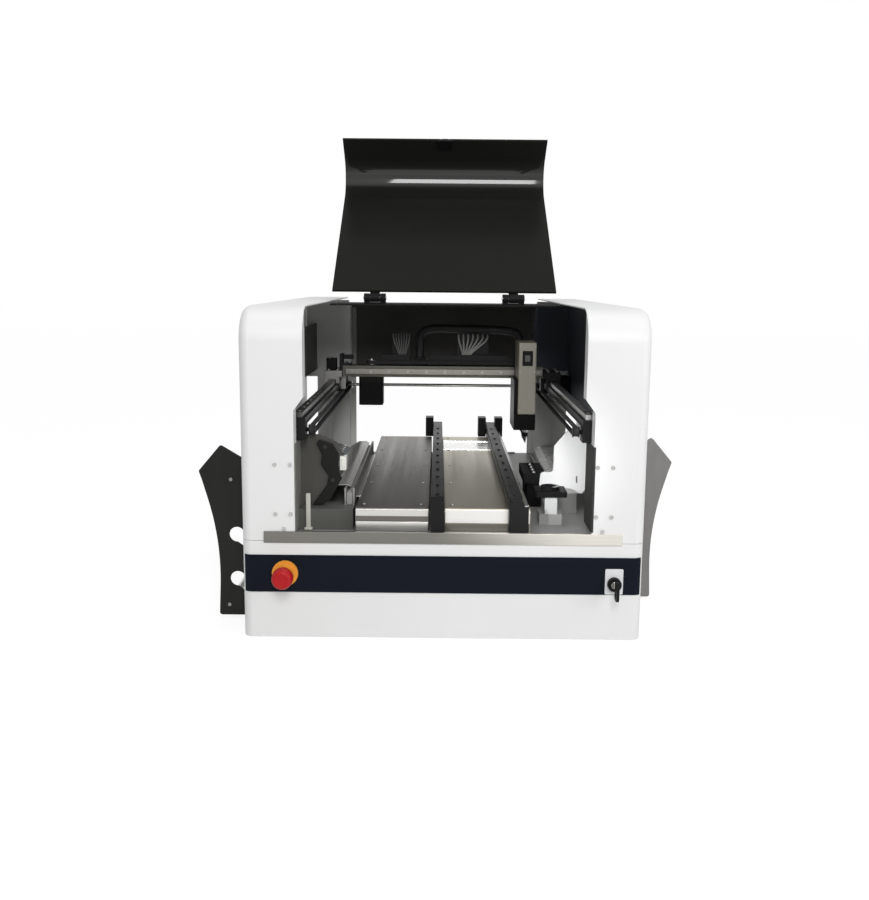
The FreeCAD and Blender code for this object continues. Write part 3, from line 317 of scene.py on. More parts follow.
def powder_coat(name, colour, roughness=0.42, level=0.5):
    """Oven-cured powder paint: a fine orange peel, faint cloudiness and slightly uneven gloss."""
    paint = Finish(name)
    cloud = paint.noise(5.0, 3.0)
    peel = paint.noise(700.0)
    rough = roughness + 0.12 * (cloud - 0.5) + 0.08 * (peel - 0.5)
    return paint.coat(cloud, colour, 0.965, 1.03, rough, peel, 0.05, Specular_IOR_Level=level)


def ground_steel(name, colour, roughness=0.2):
    """Hardened and ground steel with a fine all-round grain and faint oil haze."""
    steel = Finish(name)
    haze = steel.noise(40.0, 3.0)
    grain = steel.noise(1600.0, 3.0)
    rough = roughness + 0.16 * (haze - 0.4) + 0.08 * (grain - 0.5)
    return steel.coat(haze, colour, 0.86, 1.0, rough, grain, 0.05, Metallic=1.0)


guide_steel = ground_steel("guide steel", (0.52, 0.52, 0.51), 0.28)
finished("bed_plate", powder_coat("bed grey", (0.30, 0.30, 0.29)))
finished("cross_guides", guide_steel)


# Table plates
# Two steel plates, brushed along their length and folded down at both ends onto the bed. The left one's much
# darker steel is painted shade.
# Countersunk screws hold them, so their heads lie flush.

def points_mesh(name, places):
    """Loose points with the way that each one faces. Places are in millimetres."""
    mesh = bpy.data.meshes.new(name)
    mesh.from_pydata([Vector(place) * 0.001 for place, facing in places], [], [])
    facings = mesh.attributes.new("facing", "FLOAT_VECTOR", "POINT")
    for row, (place, facing) in zip(facings.data, places):
        row.vector = facing
    return mesh


class Pattern(Wiring):
    """A Geometry Nodes tree with named inputs, which repeats or builds what a piece is made of."""

    def __init__(self, name, **inputs):
        super().__init__(bpy.data.node_groups.new(name, "GeometryNodeTree"))
        sockets = self.tree.interface
        sockets.new_socket("Geometry", in_out="OUTPUT", socket_type="NodeSocketGeometry")
        sockets.new_socket("Geometry", in_out="INPUT", socket_type="NodeSocketGeometry")
        sockets.new_socket("Finish", in_out="INPUT", socket_type="NodeSocketMaterial")
        for label, kind in inputs.items():
            sockets.new_socket(label, in_out="INPUT", socket_type="NodeSocket" + kind)
        self.given = self.tree.nodes.new("NodeGroupInput")

    def take(self, label):
        return Shade(self, self.given.outputs[label])

    def upwards(self, height):
        return self.node("ShaderNodeCombineXYZ", None, 0.0, 0.0, height)

    def moved(self, shape, offset):
        return self.node("GeometryNodeTransform", None, shape, Translation=offset)

    def end(self, shape):
        real = self.node("GeometryNodeRealizeInstances", None, shape)
        done = self.node("GeometryNodeSetMaterial", None, real, Material=self.take("Finish"))
        self.node("NodeGroupOutput", None, done)

    def on(self, piece, **values):
        """Set the named inputs, and keep what the tree makes as the piece's plain mesh."""
        modifier = piece.modifiers.new(self.tree.name, "NODES")
        modifier.node_group = self.tree
        for item in self.tree.interface.items_tree:
            if item.in_out == "INPUT" and item.name in values:
                modifier[item.identifier] = values[item.name]
        return settled(piece)


def cap_screw_pattern():
    """Screw heads with a hexagon socket, one at each point, each socket left at its own angle."""
    tree = Pattern("cap screws", Radius="Float", Height="Float", Seed="Int")
    radius = tree.take("Radius")
    height = tree.take("Height")
    head = tree.node("GeometryNodeMeshCylinder", None, Vertices=20, Radius=radius, Depth=height)
    head = tree.moved(head, tree.upwards(0.5 * height))
    socket = tree.node("GeometryNodeMeshCylinder", None, Vertices=6, Radius=0.56 * radius, Depth=height)
    socket = tree.moved(socket, tree.upwards(0.9 * height))
    screw = tree.node(
        "GeometryNodeMeshBoolean", {"operation": "DIFFERENCE", "solver": "EXACT"},
        Mesh_1=head, Mesh_2=socket)
    facing = tree.node("GeometryNodeInputNamedAttribute", {"data_type": "FLOAT_VECTOR"}, "facing")
    upright = tree.node("FunctionNodeAlignRotationToVector", {"axis": "Z"}, Vector=facing)
    angle = tree.node("FunctionNodeRandomValue", {"data_type": "FLOAT"}, Seed=tree.take("Seed"), out=1)
    spin = tree.node("FunctionNodeAxisAngleToRotation", None, (0.0, 0.0, 1.0), 6.28 * angle)
    turned_by = tree.node("FunctionNodeRotateRotation", {"rotation_space": "LOCAL"}, upright, spin)
    tree.end(tree.node(
        "GeometryNodeInstanceOnPoints", None, tree.take("Geometry"), Instance=screw, Rotation=turned_by))
    return tree


cap_screws = cap_screw_pattern()
screw_steel = ground_steel("screw steel", (0.55, 0.55, 0.54), 0.28)


def placed(piece, body):
    """A small piece that stands for no CAD node rides on a body."""
    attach(piece, body)
    return piece


def screws(name, body, finish, radius, height, places):
    """Cap screws at places on one body, each with the way it faces. Sizes are in millimetres."""
    piece = added(name, points_mesh(name, places))
    sizes = {"Radius": radius * 0.001, "Height": height * 0.001, "Seed": 7, "Finish": finish}
    cap_screws.on(piece, **sizes)
    return placed(eased(piece, 0.0002, 1), body)


def top_of(node):
    """The height of a CAD node's top in millimetres."""
    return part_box(node)[1].z * 1000


up = (0, 0, 1)
forward = (0, -1, 0)
table_top = top_of("table_plates")
# Painted shade: the left plate takes a much darker copy of the centre plate's steel.
left_steel_painted_shade = brushed("left table steel", (0.17, 0.158, 0.145), "Y", 0.38)
centre_steel = brushed("centre table steel", (0.52, 0.485, 0.40), "Y", 0.36)
plate_gap = -10
finished(
    "table_plates", left_steel_painted_shade, centre_steel, width=0.0005, pick=lambda middle: int(middle.x > plate_gap))
table_places = [
    ((x, y, table_top), up) for x in (-112, -31, 13, 111) for y in (-300, -146, 8, 162, 306)]
screws("table_screws", "chassis", screw_steel, 2.6, 0.7, table_places)


# Table strips
# Steel strips along the front and left edges of the two table plates. The front strips' bright and dark tones
# are a painted highlight and painted shade on the table's front edge.
# A near-white steel plate across the rear of the centre one, where boards run out, is a painted highlight.

def block(shape, x, y, z):
    """Add a rectangular bar between three pairs of limits in millimetres."""
    limits = (x, y, z)
    for corner in bmesh.ops.create_cube(shape, size=1.0)["verts"]:
        sides = [int(part > 0) for part in corner.co]
        corner.co = Vector([pair[side] for pair, side in zip(limits, sides)]) * 0.001


def built(name, shape, finish):
    """A new piece from a shape that is complete."""
    mesh = bpy.data.meshes.new(name)
    shape.to_mesh(mesh)
    shape.free()
    return added(name, mesh, finish)


def machined(name, finish, width, body, slot, *blocks):
    """A small piece made of bars with eased edges, riding on a body."""
    shape = bmesh.new()
    for limits in blocks:
        block(shape, *limits)
    return placed(eased(built(name, shape, finish), width), body)


# Painted highlight and shade: the front strips are one steel in bright, dimmer and dark tones.
edge_painted_highlight = brushed("edge bright", (0.80, 0.79, 0.76), "X", 0.3)
edge_painted_shade = brushed("edge dull", (0.20, 0.19, 0.165), "X", 0.45)
edge_painted_dim_highlight = brushed("edge worn", (0.64, 0.63, 0.60), "X", 0.36)
side_bright = brushed("side bright", (0.72, 0.71, 0.68), "Y", 0.3)
left_x, centre_x = (-122, -21), (3, 121)
edge_y, side_y = (-327, -325.8), (-250, 100)
strips = {
    "left_edge_strips": (
        edge_painted_dim_highlight, (left_x, edge_y, (170, 180)), (left_x, (-327.4, -326.5), (177.5, 179.5))),
    "table_edge_strips": (
        edge_painted_highlight, (left_x, edge_y, (149, 162)), (centre_x, edge_y, (161, 180))),
    "table_side_strip": (
        side_bright, ((-129.5, -121), side_y, (table_top - 0.4, table_top + 0.8)),
        ((-123, -121), side_y, (table_top + 0.2, table_top + 1.4))),
    "table_edge_shade_strip": (
        edge_painted_shade, (centre_x, edge_y, (147, 160.5)), (centre_x, (-328, -326.5), (147, 149)))}
for name, (finish, *bars) in strips.items():
    machined(name, finish, 0.0004, "chassis", "steel", *bars)
# Painted highlight: the run-out plate's near-white steel stands for the light's reflection on the table's
# rear.
run_out_painted_highlight = brushed("polished steel", (0.93, 0.92, 0.885), "X", 0.22, 0.02)
machined(
    "run_out_highlight_plate", run_out_painted_highlight, 0.0003, "chassis", "steel",
    (centre_x, (168, 262), (table_top - 0.2, table_top + 0.9)),
    (centre_x, (258.5, 262), (table_top, table_top + 2.2)))


# Board rails
# Two black anodised bars hold the circuit board by its edges, each with a belt motor at its rear end.
# The right-hand one slides. A bright wear strip is screwed along its outer edge.

def anodised(name, colour, along, roughness=0.36):
    """Anodised aluminium: a satin dye coat with the extrusion's faint lines."""
    skin = Finish(name)
    lines = skin.lines(600.0, 3.0, along, 0.03)
    cloud = skin.noise(16.0, 3.0)
    dye = 0.5 * lines + 0.5 * cloud
    rough = roughness + 0.14 * (cloud - 0.5) + 0.08 * (lines - 0.5)
    return skin.coat(dye, colour, 0.75, 1.35, rough, lines, 0.08, Specular_IOR_Level=0.1)


rail_black = anodised("rail black", (0.013, 0.013, 0.0135), "Y")
finished("fixed_board_rail", rail_black, width=0.0006)
finished("movable_board_rail", rail_black, width=0.0006)
bar_top = 203.0
ledge_top = 189.0
strip_steel = brushed("strip steel", (0.62, 0.62, 0.61), "Y", 0.28)
machined(
    "rail_wear_strip", strip_steel, 0.0003, "movable_rail", "steel",
    ((112.5, 117.6), (-344, 338), (ledge_top - 0.1, ledge_top + 1.2)),
    ((116.4, 117.6), (-344, 338), (ledge_top, ledge_top + 2.2)))
screw_black = ground_steel("screw black oxide", (0.045, 0.045, 0.043), 0.4)
for name, body, x in (("movable", "movable_rail", 98.5), ("fixed", "chassis", -8.0)):
    rail_places = [((x, y, bar_top), up) for y in range(-330, 350, 62)]
    screws(name + "_rail_screws", body, screw_black, 2.4, 1.4, rail_places)


# Feeder bases
# Painted steel boxes along both sides of the bed, which the tape feeders slide onto.
# The left one has two folded lips that make a channel for the spent tape.
machine_grey = powder_coat("machine grey", (0.36, 0.36, 0.35), 0.46)
# The left base's darker grey is painted shade; both bases are the same grey boxes.
base_painted_shade = powder_coat("base dark", (0.105, 0.105, 0.096), 0.5, 0.2)
lip_steel = brushed("lip steel", (0.30, 0.295, 0.285), "Y", 0.42)
lip_foot = 176.5


def base_finish(middle):
    """Grey on the right. On the left, a darker grey below as painted shade, and plain steel on the lips."""
    if middle.x > 0:
        return 0
    return 2 if middle.z > lip_foot else 1


finished("feeder_bases", machine_grey, base_painted_shade, lip_steel, pick=base_finish)
guide_cream = moulded("guide cream", (0.84, 0.835, 0.78), 0.45)
upright_cream = moulded("upright cream", (0.60, 0.59, 0.52), 0.45)
machined(
    "tape_channel", moulded("tape grey", (0.34, 0.34, 0.33), 0.5), 0.0008, "chassis", "white_panel",
    ((-138.7, -130.3), (-281, 140), (175.8, 193)), ((-136, -133), (-279, 138), (192.5, 194)))
machined(
    "tape_upright", upright_cream, 0.0012, "chassis", "white_panel",
    ((-193, -186.5), (-317, -311.9), (147, 199)), ((-195.5, -184), (-318.5, -311.9), (146.8, 150.5)))


# Tape feeders
# Slim moulded bodies side by side, twenty on the left and fifteen on the right, latched to the bases.
# Each has a steel cover and a black lever, and the left ones a bright tongue that leads the tape away.

def feeder_row_pattern():
    """Copies of one feeder piece in a row on each side. The left row is turned half round."""
    tree = Pattern("feeder rows", Left="Int", Right="Int", Pitch="Float", Last="Float")
    step = tree.node("ShaderNodeCombineXYZ", None, 0.0, 0.0 - tree.take("Pitch"), 0.0)
    start = tree.node("ShaderNodeCombineXYZ", None, 0.0, tree.take("Last"), 0.0)
    both = tree.tree.nodes.new("GeometryNodeJoinGeometry")
    for side, turn in (("Left", math.pi), ("Right", 0.0)):
        line = tree.node(
            "GeometryNodeMeshLine", None, Count=tree.take(side), Start_Location=start, Offset=step)
        row = tree.node(
            "GeometryNodeInstanceOnPoints", None, line, Instance=tree.take("Geometry"),
            Rotation=(0.0, 0.0, turn))
        tree.tree.links.new(row.socket, both.inputs[0])
    tree.end(Shade(tree, both.outputs[0]))
    return tree


feeder_rows = feeder_row_pattern()
feeder_count = {"Left": 20, "Right": 15, "Pitch": 0.020, "Last": 0.128}


def cut_out(name, finish, corners, y):
    """A piece with an outline in the XZ plane, between two depths. All are in millimetres."""
    shape = bmesh.new()
    rings = []
    for depth in y:
        rings.append([shape.verts.new((x * 0.001, depth * 0.001, z * 0.001)) for x, z in corners])
    shape.faces.new(rings[0])
    shape.faces.new(rings[1][::-1])
    for index in range(len(corners)):
        after = (index + 1) % len(corners)
        shape.faces.new((rings[0][index], rings[1][index], rings[1][after], rings[0][after]))
    bmesh.ops.recalc_face_normals(shape, faces=shape.faces)
    return built(name, shape, finish)


def feeder_pieces(name, finish, width, corners, half, **counts):
    """One piece of a feeder, of a given half width, repeated along the rows."""
    piece = eased(cut_out(name, finish, corners, (-half, half)), width, 1)
    feeder_rows.on(piece, Finish=finish, **(feeder_count | counts))
    return placed(piece, "chassis")


feeder_body = [
    (168, 176), (288, 176), (288, 187), (284, 189.5), (262, 196), (186, 196), (170, 190), (168, 188)]
feeder_cover = [(176, 192.6), (187, 196.3), (256, 196.3), (256, 197.0), (187, 197.0), (176, 193.4)]
feeder_lever = [(264, 190), (284, 184), (288, 184), (288, 188), (272, 195.5), (264, 197.5)]
feeder_grey = moulded("feeder grey", (0.20, 0.22, 0.235))
feeder_pale = moulded("feeder pale", (0.60, 0.60, 0.57))
left_bodies = feeder_pieces("left_feeder_bodies", feeder_grey, 0.0006, feeder_body, 7.5, Right=0)
right_bodies = feeder_pieces("right_feeder_bodies", feeder_pale, 0.0006, feeder_body, 7.5, Left=0)
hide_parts("tape_feeders")
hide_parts("tape_feeders")
cover_steel = brushed("feeder cover steel", (0.60, 0.60, 0.59), "X", 0.3)
feeder_pieces("feeder_covers", cover_steel, 0.0002, feeder_cover, 5.5)
feeder_pieces("feeder_levers", black_plastic, 0.0005, feeder_lever, 3.0)
feeder_tongue = [
    (168, 192), (153, 200.6), (140, 201.4), (134, 198.2),
    (134, 197.4), (139.8, 200.6), (152.8, 199.8), (168, 191.2)]
tongue_steel = brushed("tongue steel", (0.56, 0.555, 0.54), "X", 0.36)
feeder_pieces("feeder_tongues", tongue_steel, 0.0002, feeder_tongue, 9.6, Right=0)


# Feeder end plates
# Laser-cut plates at the front ends of the two feeder rows, tabbed into the bases.
# The left one is dark with a hook for a tape, the right one is painted white.

def plate_dark(name, colour, roughness=0.45):
    """Black oxide on cut steel sheet: a soft grey bloom with worn streaks."""
    sheet = Finish(name)
    bloom = sheet.noise(11.0, 4.0)
    streaks = sheet.lines(120.0, 3.0, "Z", 0.15)
    worn = 0.7 * bloom + 0.3 * streaks
    rough = roughness + 0.2 * (bloom - 0.5) + 0.1 * (streaks - 0.5)
    return sheet.coat(worn, colour, 0.72, 1.35, rough, streaks, 0.06, Specular_IOR_Level=0.12)


dark_plate = plate_dark("dark plate", (0.075, 0.073, 0.066))
case_white = powder_coat("case white", (0.84, 0.845, 0.84), 0.4)
finished("feeder_end_plates", dark_plate, case_white, pick=lambda middle: int(middle.x > 0))
machined(
    "hook_pad", guide_cream, 0.002, "chassis", "white_panel",
    ((-146.8, -137.6), (-296, -280), (228.5, 248.5)), ((-144.6, -139.8), (-297.2, -295.5), (232, 245)))


# Tape cutter arm
# A black painted cast arm on the front of the left end plate, with its blade end down at the base.
# It is pinned to the plate at its top and cuts the spent tape that comes past the hook.
arm_black = powder_coat("arm black", (0.014, 0.014, 0.013), 0.5, 0.1)
arm_outline = [
    (-186, 178), (-172, 178), (-160, 186), (-144, 217), (-149, 226), (-149, 252), (-157, 266), (-176, 272),
    (-180, 266), (-172, 250), (-174, 236), (-163, 220), (-166, 206)]
arm_y = (-293.6, -289.6)
arm = cut_out("tape_cutter_arm", arm_black, arm_outline, arm_y)
placed(eased(arm, 0.0012), "chassis")
screws(
    "arm_pins", "chassis", screw_black, 3.2, 1.6,
    [((x, arm_y[0], z), forward) for x, z in ((-168, 262), (-157, 214))])


# Gantry posts, Y beams and guides
# Painted posts on the bed carry two black beams, with a ground steel guide screwed along each one.
# A motor at the rear right turns a cross shaft, whose two belts pull both ends of the gantry.
beam_black = anodised("beam black", (0.012, 0.012, 0.0125), "Y")
belt_rubber = rubber("belt rubber", (0.012, 0.012, 0.012))
pulley_alloy = ground_steel("pulley alloy", (0.70, 0.70, 0.69), 0.3)


def motor_case(name, axis, caps):
    """Stepper motor: black lamination stack between two cast end caps."""
    case = Finish(name)
    along = case.axis(axis)
    stack = case.rise(along, caps[0] - 0.0001, caps[0]) - case.rise(along, caps[1], caps[1] + 0.0001)
    layers = case.noise(2600.0, 1.0, tuple(1.0 if letter == axis else 0.01 for letter in "XYZ"))
    cast = case.noise(500.0, 3.0)
    steel = case.tint(layers, (0.004, 0.004, 0.0042), (0.011, 0.011, 0.0115))
    tone = case.tint(stack, (0.012, 0.012, 0.012), steel)
    rough = 0.45 + 0.1 * cast
    relief = case.relief(layers * stack + cast * (1.0 - stack), 0.2)
    return case.surface(Base_Color=tone, Roughness=rough, Normal=relief, Specular_IOR_Level=0.06)


finished("gantry_posts", powder_coat("post grey", (0.83, 0.83, 0.80), 0.5), width=0.0008)
finished("y_beams", beam_black, width=0.0006)
# Painted shade: the left guide takes a dark copy of the guide steel.
guide_painted_shade = ground_steel("guide oiled", (0.11, 0.11, 0.105), 0.34)
finished(
    "y_guide_rails", guide_steel, guide_painted_shade, width=0.0006, pick=lambda middle: int(middle.x < 0))
finished("y_belts", belt_rubber, width=0.0)
finished("y_motor", motor_case("y motor case", "X", (0.222, 0.241)), width=0.0006)
finished("y_sync_shaft", guide_steel, width=0.0003)
finished("y_idler_pulleys", black_plastic, width=0.0003)
guide_top = top_of("y_guide_rails")
guide_places = [
    ((x, y, guide_top - 0.6), up) for x in (-202, 202) for y in range(-300, 330, 42)]
screws("y_guide_screws", "chassis", screw_steel, 2.6, 0.8, guide_places)


# Gantry carriages
# Machined blocks run on the Y guides and hold the ends of the X beam, and each clamps its belt.
# The left one has a belt tensioner and the position switch with its lead.
carriage_black = anodised("carriage black", (0.018, 0.018, 0.0185), "X", 0.4)
carriage_top = top_of("y_carriages")
carriage_alloy = brushed("carriage alloy", (0.27, 0.265, 0.255), "X", 0.45)
finished(
    "y_carriages", carriage_black, carriage_alloy, width=0.0007, pick=lambda middle: int(middle.x < 0))
carriage_places = [
    ((side * x, y, carriage_top), up)
    for side in (-1, 1) for x in (193, 209) for y in (142, 158, 176, 192)]
screws("carriage_screws", "gantry", screw_steel, 2.7, 2.2, carriage_places)
machined(
    "belt_tensioner", carriage_black, 0.0006, "gantry", "black_anodised",
    ((-190, -170), (151, 183), (339, 344)),
    ((-190, -184), (153, 181), (331.2, 360)),
    ((-184, -166), (164, 172), (350, 358)))
machined(
    "position_switch", black_plastic, 0.0008, "gantry", "black_plastic",
    ((-214, -196), (150, 172), (331.2, 352)),
    ((-211, -201), (147.5, 150), (336, 344)))
screws(
    "tensioner_screws", "gantry", screw_steel, 2.2, 1.8,
    [((x, y, 344), up) for x in (-180, -172) for y in (156, 178)]
    + [((-208, y, 352), up) for y in (155, 167)])


# X beam and its drive
# A grey aluminium extrusion with a ground guide on its front, a motor below and a belt on top.
# The belt runs between a driven pulley at the left and an idler at the right.
beam_grey = brushed("beam alloy", (0.12, 0.116, 0.103), "X", 0.46)
finished("x_beam", beam_grey, width=0.0006)
finished("x_guide_rail", ground_steel("x guide steel", (0.28, 0.27, 0.242), 0.4), width=0.0006)
finished("x_motor", motor_case("x motor case", "Z", (0.276, 0.309)), width=0.0006)
finished("x_belt", belt_rubber, width=0.0)
finished("x_drive_pulley", pulley_alloy, width=0.0003)
finished("x_idler_pulley", pulley_alloy, width=0.0003)
screws(
    "x_guide_screws", "gantry", screw_steel, 2.2, 0.8,
    [((x, 143.6, 329), forward) for x in range(-166, 180, 34)])


# Cable sleeve
# A braided sleeve stiffened by the wires in it, which carries the head's cables over from the beam.
# Its foot is clamped in a bracket on the beam and its other end in the saddle on the head's post.

def braid(name, colour):
    """Woven plastic sleeve. The two sets of strands cross over each other all along it."""
    sleeve = Finish(name)
    uv = sleeve.node("ShaderNodeUVMap", {"uv_map": "UVMap"})
    along = sleeve.node("ShaderNodeSeparateXYZ", None, uv, out="X")
    around = sleeve.node("ShaderNodeSeparateXYZ", None, uv, out="Y")
    strands = []
    for way in (1.0, -1.0):
        phase = 440.0 * along + way * 100.5 * around
        strands.append(sleeve.node("ShaderNodeMath", {"operation": "SINE"}, phase))
    weave = strands[0] * strands[1]
    gloss = sleeve.rise(weave, -0.4, 0.7)
    return sleeve.coat(gloss, colour, 0.45, 1.9, 0.55 - 0.18 * gloss, weave, 0.6)


def tube(name, points, radius, finish, sides=20, steps=24):
    """A round tube along a smooth line whose control points are in millimetres."""
    line = bpy.data.curves.new(name, "CURVE")
    line.dimensions = "3D"
    route = line.splines.new("NURBS")
    route.points.add(len(points) - 1)
    for point, place in zip(route.points, points):
        point.co = (*(Vector(place) * 0.001), 1.0)
    route.order_u = 3
    route.use_endpoint_u = True
    line.resolution_u = steps
    line.bevel_depth = radius * 0.001
    line.bevel_resolution = sides // 4 - 1
    line.use_fill_caps = True
    draft = added(name + "_line", line)
    mesh = bpy.data.meshes.new_from_object(draft.evaluated_get(bpy.context.evaluated_depsgraph_get()))
    bpy.data.objects.remove(draft)
    piece = added(name, mesh, finish)
    piece.data.shade_smooth()
    return piece


sleeve_route = [
    (-43, 191, 346), (-43, 191, 378), (-41, 191, 398), (-24, 186, 407), (20, 176, 407), (66, 164, 406.5),
    (112, 151, 406), (134, 145, 402), (138, 144, 392), (138, 144, 378.2)]
sleeve_braid = braid("sleeve braid", (0.016, 0.016, 0.017))
sleeve = tube("braided_sleeve", sleeve_route, 7.3, sleeve_braid, 24, 18)
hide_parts("cable_sleeve")
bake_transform(sleeve)
machined(
    "sleeve_bracket", carriage_black, 0.0006, "gantry", "black_plastic",
    ((-58, -28), (178, 200.5), (339, 346)), ((-54, -32), (182, 200), (346, 352)))
screws(
    "bracket_screws", "gantry", screw_steel, 2.0, 1.6,
    [((x, 180.6, 346), up) for x in (-55.5, -30.5)])


# Wire combs
# Two thin black boards stand on the back of the beam, where the motor and head wires fan out.
# Grey insulated wires rise from a plug behind a black duct and are soldered along the board's upper edge.
wire_grey = moulded("wire grey", (0.27, 0.27, 0.26), 0.45)
wire_pale = moulded("wire pale", (0.58, 0.58, 0.56), 0.45)
comb_black = moulded("comb black", (0.014, 0.014, 0.015), 0.6)


def wire_comb(name, finish, gauge, middle, lean, spread, tall):
    """A board on its foot, a plug in front of it and seven wires that fan out between the two."""
    machined(
        name + "_board", comb_black, 0.0004, "gantry", "black_plastic",
        ((middle - 12, middle + 12), (178, 198), (339, 341)),
        ((middle + lean - spread - 2, middle + lean + spread + 2), (196.4, 198), (341, tall)))
    machined(
        name + "_plug", finish, 0.0005, "gantry", "white_panel",
        ((middle - 9, middle + 9), (190, 196.4), (343, 352)),
        ((middle - 3, middle + 3), (188.8, 190.5), (345, 350)))
    for index in range(7):
        share = (index - 3) / 3
        foot = middle + 6.5 * share
        head = middle + lean + spread * share
        bulge = 189.5 - 1.2 * (index % 2)
        route = [
            (foot, 193.2, 351.5), (foot, 191.8, 358), (0.6 * foot + 0.4 * head, bulge, 370),
            (head, bulge, tall - 14), (head, 193.5, tall - 5), (head, 196.6, tall - 4)]
        wire = tube("%s_wire_%d" % (name, index + 1), route, gauge, finish, 8, 8)
        placed(wire, "gantry")


wire_comb("left_comb", wire_grey, 1.2, -76, -2, 15, 400)
wire_comb("right_comb", wire_pale, 1.8, 44, 12, 27, 400)
duct_runs = ((-116, -61), (-25, 118))
duct_walls = [(run, (178.5, 187.5), (339, 357)) for run in duct_runs]
duct_lids = [(run, (177.9, 188.1), (354, 357.6)) for run in duct_runs]
machined("wire_duct", comb_black, 0.0006, "gantry", "black_plastic", *duct_walls, *duct_lids)


# Placement head
# A folded and painted grey-beige cover over the spindle drives, on a black machined block.
# A dark window in the cover looks onto the down-facing camera's board.
head_beige = powder_coat("head beige", (0.36, 0.345, 0.285), 0.44)
block_black = anodised("head black", (0.0045, 0.0045, 0.0046), "Z", 0.42)


def dark_glass(name, colour, roughness=0.06, level=0.5):
    """Tinted glass or gloss sheet with a trace of dust and finger haze."""
    glass = Finish(name)
    haze = glass.noise(9.0, 4.0)
    dust = glass.noise(1500.0, 2.0)
    tone = glass.tint(glass.rise(dust, 0.66, 0.80), colour, shaded(colour, 1.8))
    rough = roughness + 0.07 * glass.rise(haze, 0.4, 0.8)
    return glass.surface(Base_Color=tone, Roughness=rough, Specular_IOR_Level=level)


finished("head_housing", head_beige, width=0.0006)
finished("head_block", block_black, width=0.0007)
window_glass = dark_glass("window glass", (0.008, 0.008, 0.008), 0.2, 0.15)
board_olive = moulded("camera board", (0.12, 0.125, 0.105), 0.5)
machined(
    "head_window", window_glass, 0.0004, "head", "black_plastic",
    ((137.3, 154.7), (44.6, 45.4), (350.3, 375.7)), ((139, 153), (45.2, 46.2), (352, 374)))
machined(
    "head_camera_board", board_olive, 0.0005, "head", "black_plastic",
    ((141.5, 150.5), (44.1, 44.7), (357.5, 368.5)), ((144, 148), (43.6, 44.3), (361, 365)))
screws(
    "head_screws", "head", screw_steel, 1.6, 1.0,
    [((x, 44, z), forward) for x in (133.6, 158.4) for z in (272, 340, 384)])


# Spindles and nozzles
# Four hollow ground spindles slide in the block, in two rocking pairs, and a nozzle turns in each.
# The nozzles have a black holder and a fine bright tip.
holder_z = (224.8, 232.2)
for number in (1, 2, 3, 4):
    finished("spindle_%d" % number, guide_steel, width=0.0004)
    finished(
        "nozzle_%d" % number, guide_steel, black_plastic,
        width=0.0003, pick=lambda middle: int(holder_z[0] < middle.z < holder_z[1]))


# Up-looking camera
# A pale moulded body on a painted foot, with a black top plate, a lens ring and a coated lens.
# It looks up at the parts that the head carries over it.
camera_white = moulded("camera white", (0.70, 0.71, 0.71), 0.45)
lens_glass = dark_glass("lens glass", (0.012, 0.014, 0.024), 0.03)
lens_middle = Vector((156.5, -255.0))
lens_radius = 8.6
foot_top, case_top, plate_top = 162.1, 187.9, 196.1


def camera_finish(middle):
    """The foot's, case's, lens's or plate's finish, by height and distance from the lens's axis."""
    if middle.z < foot_top:
        return 3
    if middle.z < case_top:
        return 0
    on_lens = (middle.xy - lens_middle).length < lens_radius
    return 2 if middle.z > plate_top and on_lens else 1


finished(
    "up_camera", camera_white, black_plastic, lens_glass, machine_grey, width=0.0004, pick=camera_finish)


# Nozzle rack
# A black block beside the board, with four sockets and a spare nozzle standing in each one.
# The spare nozzles have a black disc and a bright steel body.
finished("nozzle_rack", black_plastic, width=0.0006)


def turned(name, profile, place, axis, finish, sides=40):
    """A piece turned on a lathe from pairs of radius and distance along its axis, in millimetres."""
    shape = bmesh.new()
    rings = []
    for radius, along in profile:
        ring = []
        for index in range(sides if radius else 1):
            angle = 2 * math.pi * index / sides
            across = (radius * math.cos(angle), radius * math.sin(angle))
            point = (across[0], along, across[1]) if axis == "Y" else (across[0], across[1], along)
            ring.append(shape.verts.new((Vector(place) + Vector(point)) * 0.001))
        rings.append(ring)
    for first, second in zip(rings, rings[1:]):
        for index in range(sides):
            corners = [first[index % len(first)], first[(index + 1) % len(first)]]
            corners += [second[(index + 1) % len(second)], second[index % len(second)]]
            shape.faces.new(list(dict.fromkeys(corners)))
    bmesh.ops.recalc_face_normals(shape, faces=shape.faces)
    return built(name, shape, finish)


def nozzle_row_pattern():
    """Copies of one spare nozzle along the rack."""
    tree = Pattern("spare nozzles", Count="Int", Pitch="Float")
    step = tree.node("ShaderNodeCombineXYZ", None, 0.0, tree.take("Pitch"), 0.0)
    line = tree.node("GeometryNodeMeshLine", None, Count=tree.take("Count"), Offset=step)
    tree.end(tree.node("GeometryNodeInstanceOnPoints", None, line, Instance=tree.take("Geometry")))
    return tree


nozzle_row = nozzle_row_pattern()
spare_shapes = {
    "spare_nozzle_discs": ([(0, 195), (6.6, 195), (6.6, 197.4), (6.2, 197.8), (0, 197.8)], black_plastic),
    "spare_nozzle_bodies": (
        [(0, 188.4), (2.6, 188.4), (2.6, 197.8), (3.4, 197.8), (3.4, 199.4), (2.2, 200.2), (1.2, 201.4),
         (0.5, 201.4), (0.5, 199.0), (0, 199.0)], guide_steel)}
for name, (profile, finish) in spare_shapes.items():
    spare = turned(name, profile, (143, -145, 0), "Z", finish, 28)
    eased(spare, 0.0)
    nozzle_row.on(spare, Count=4, Pitch=0.022, Finish=finish)
    placed(spare, "chassis")


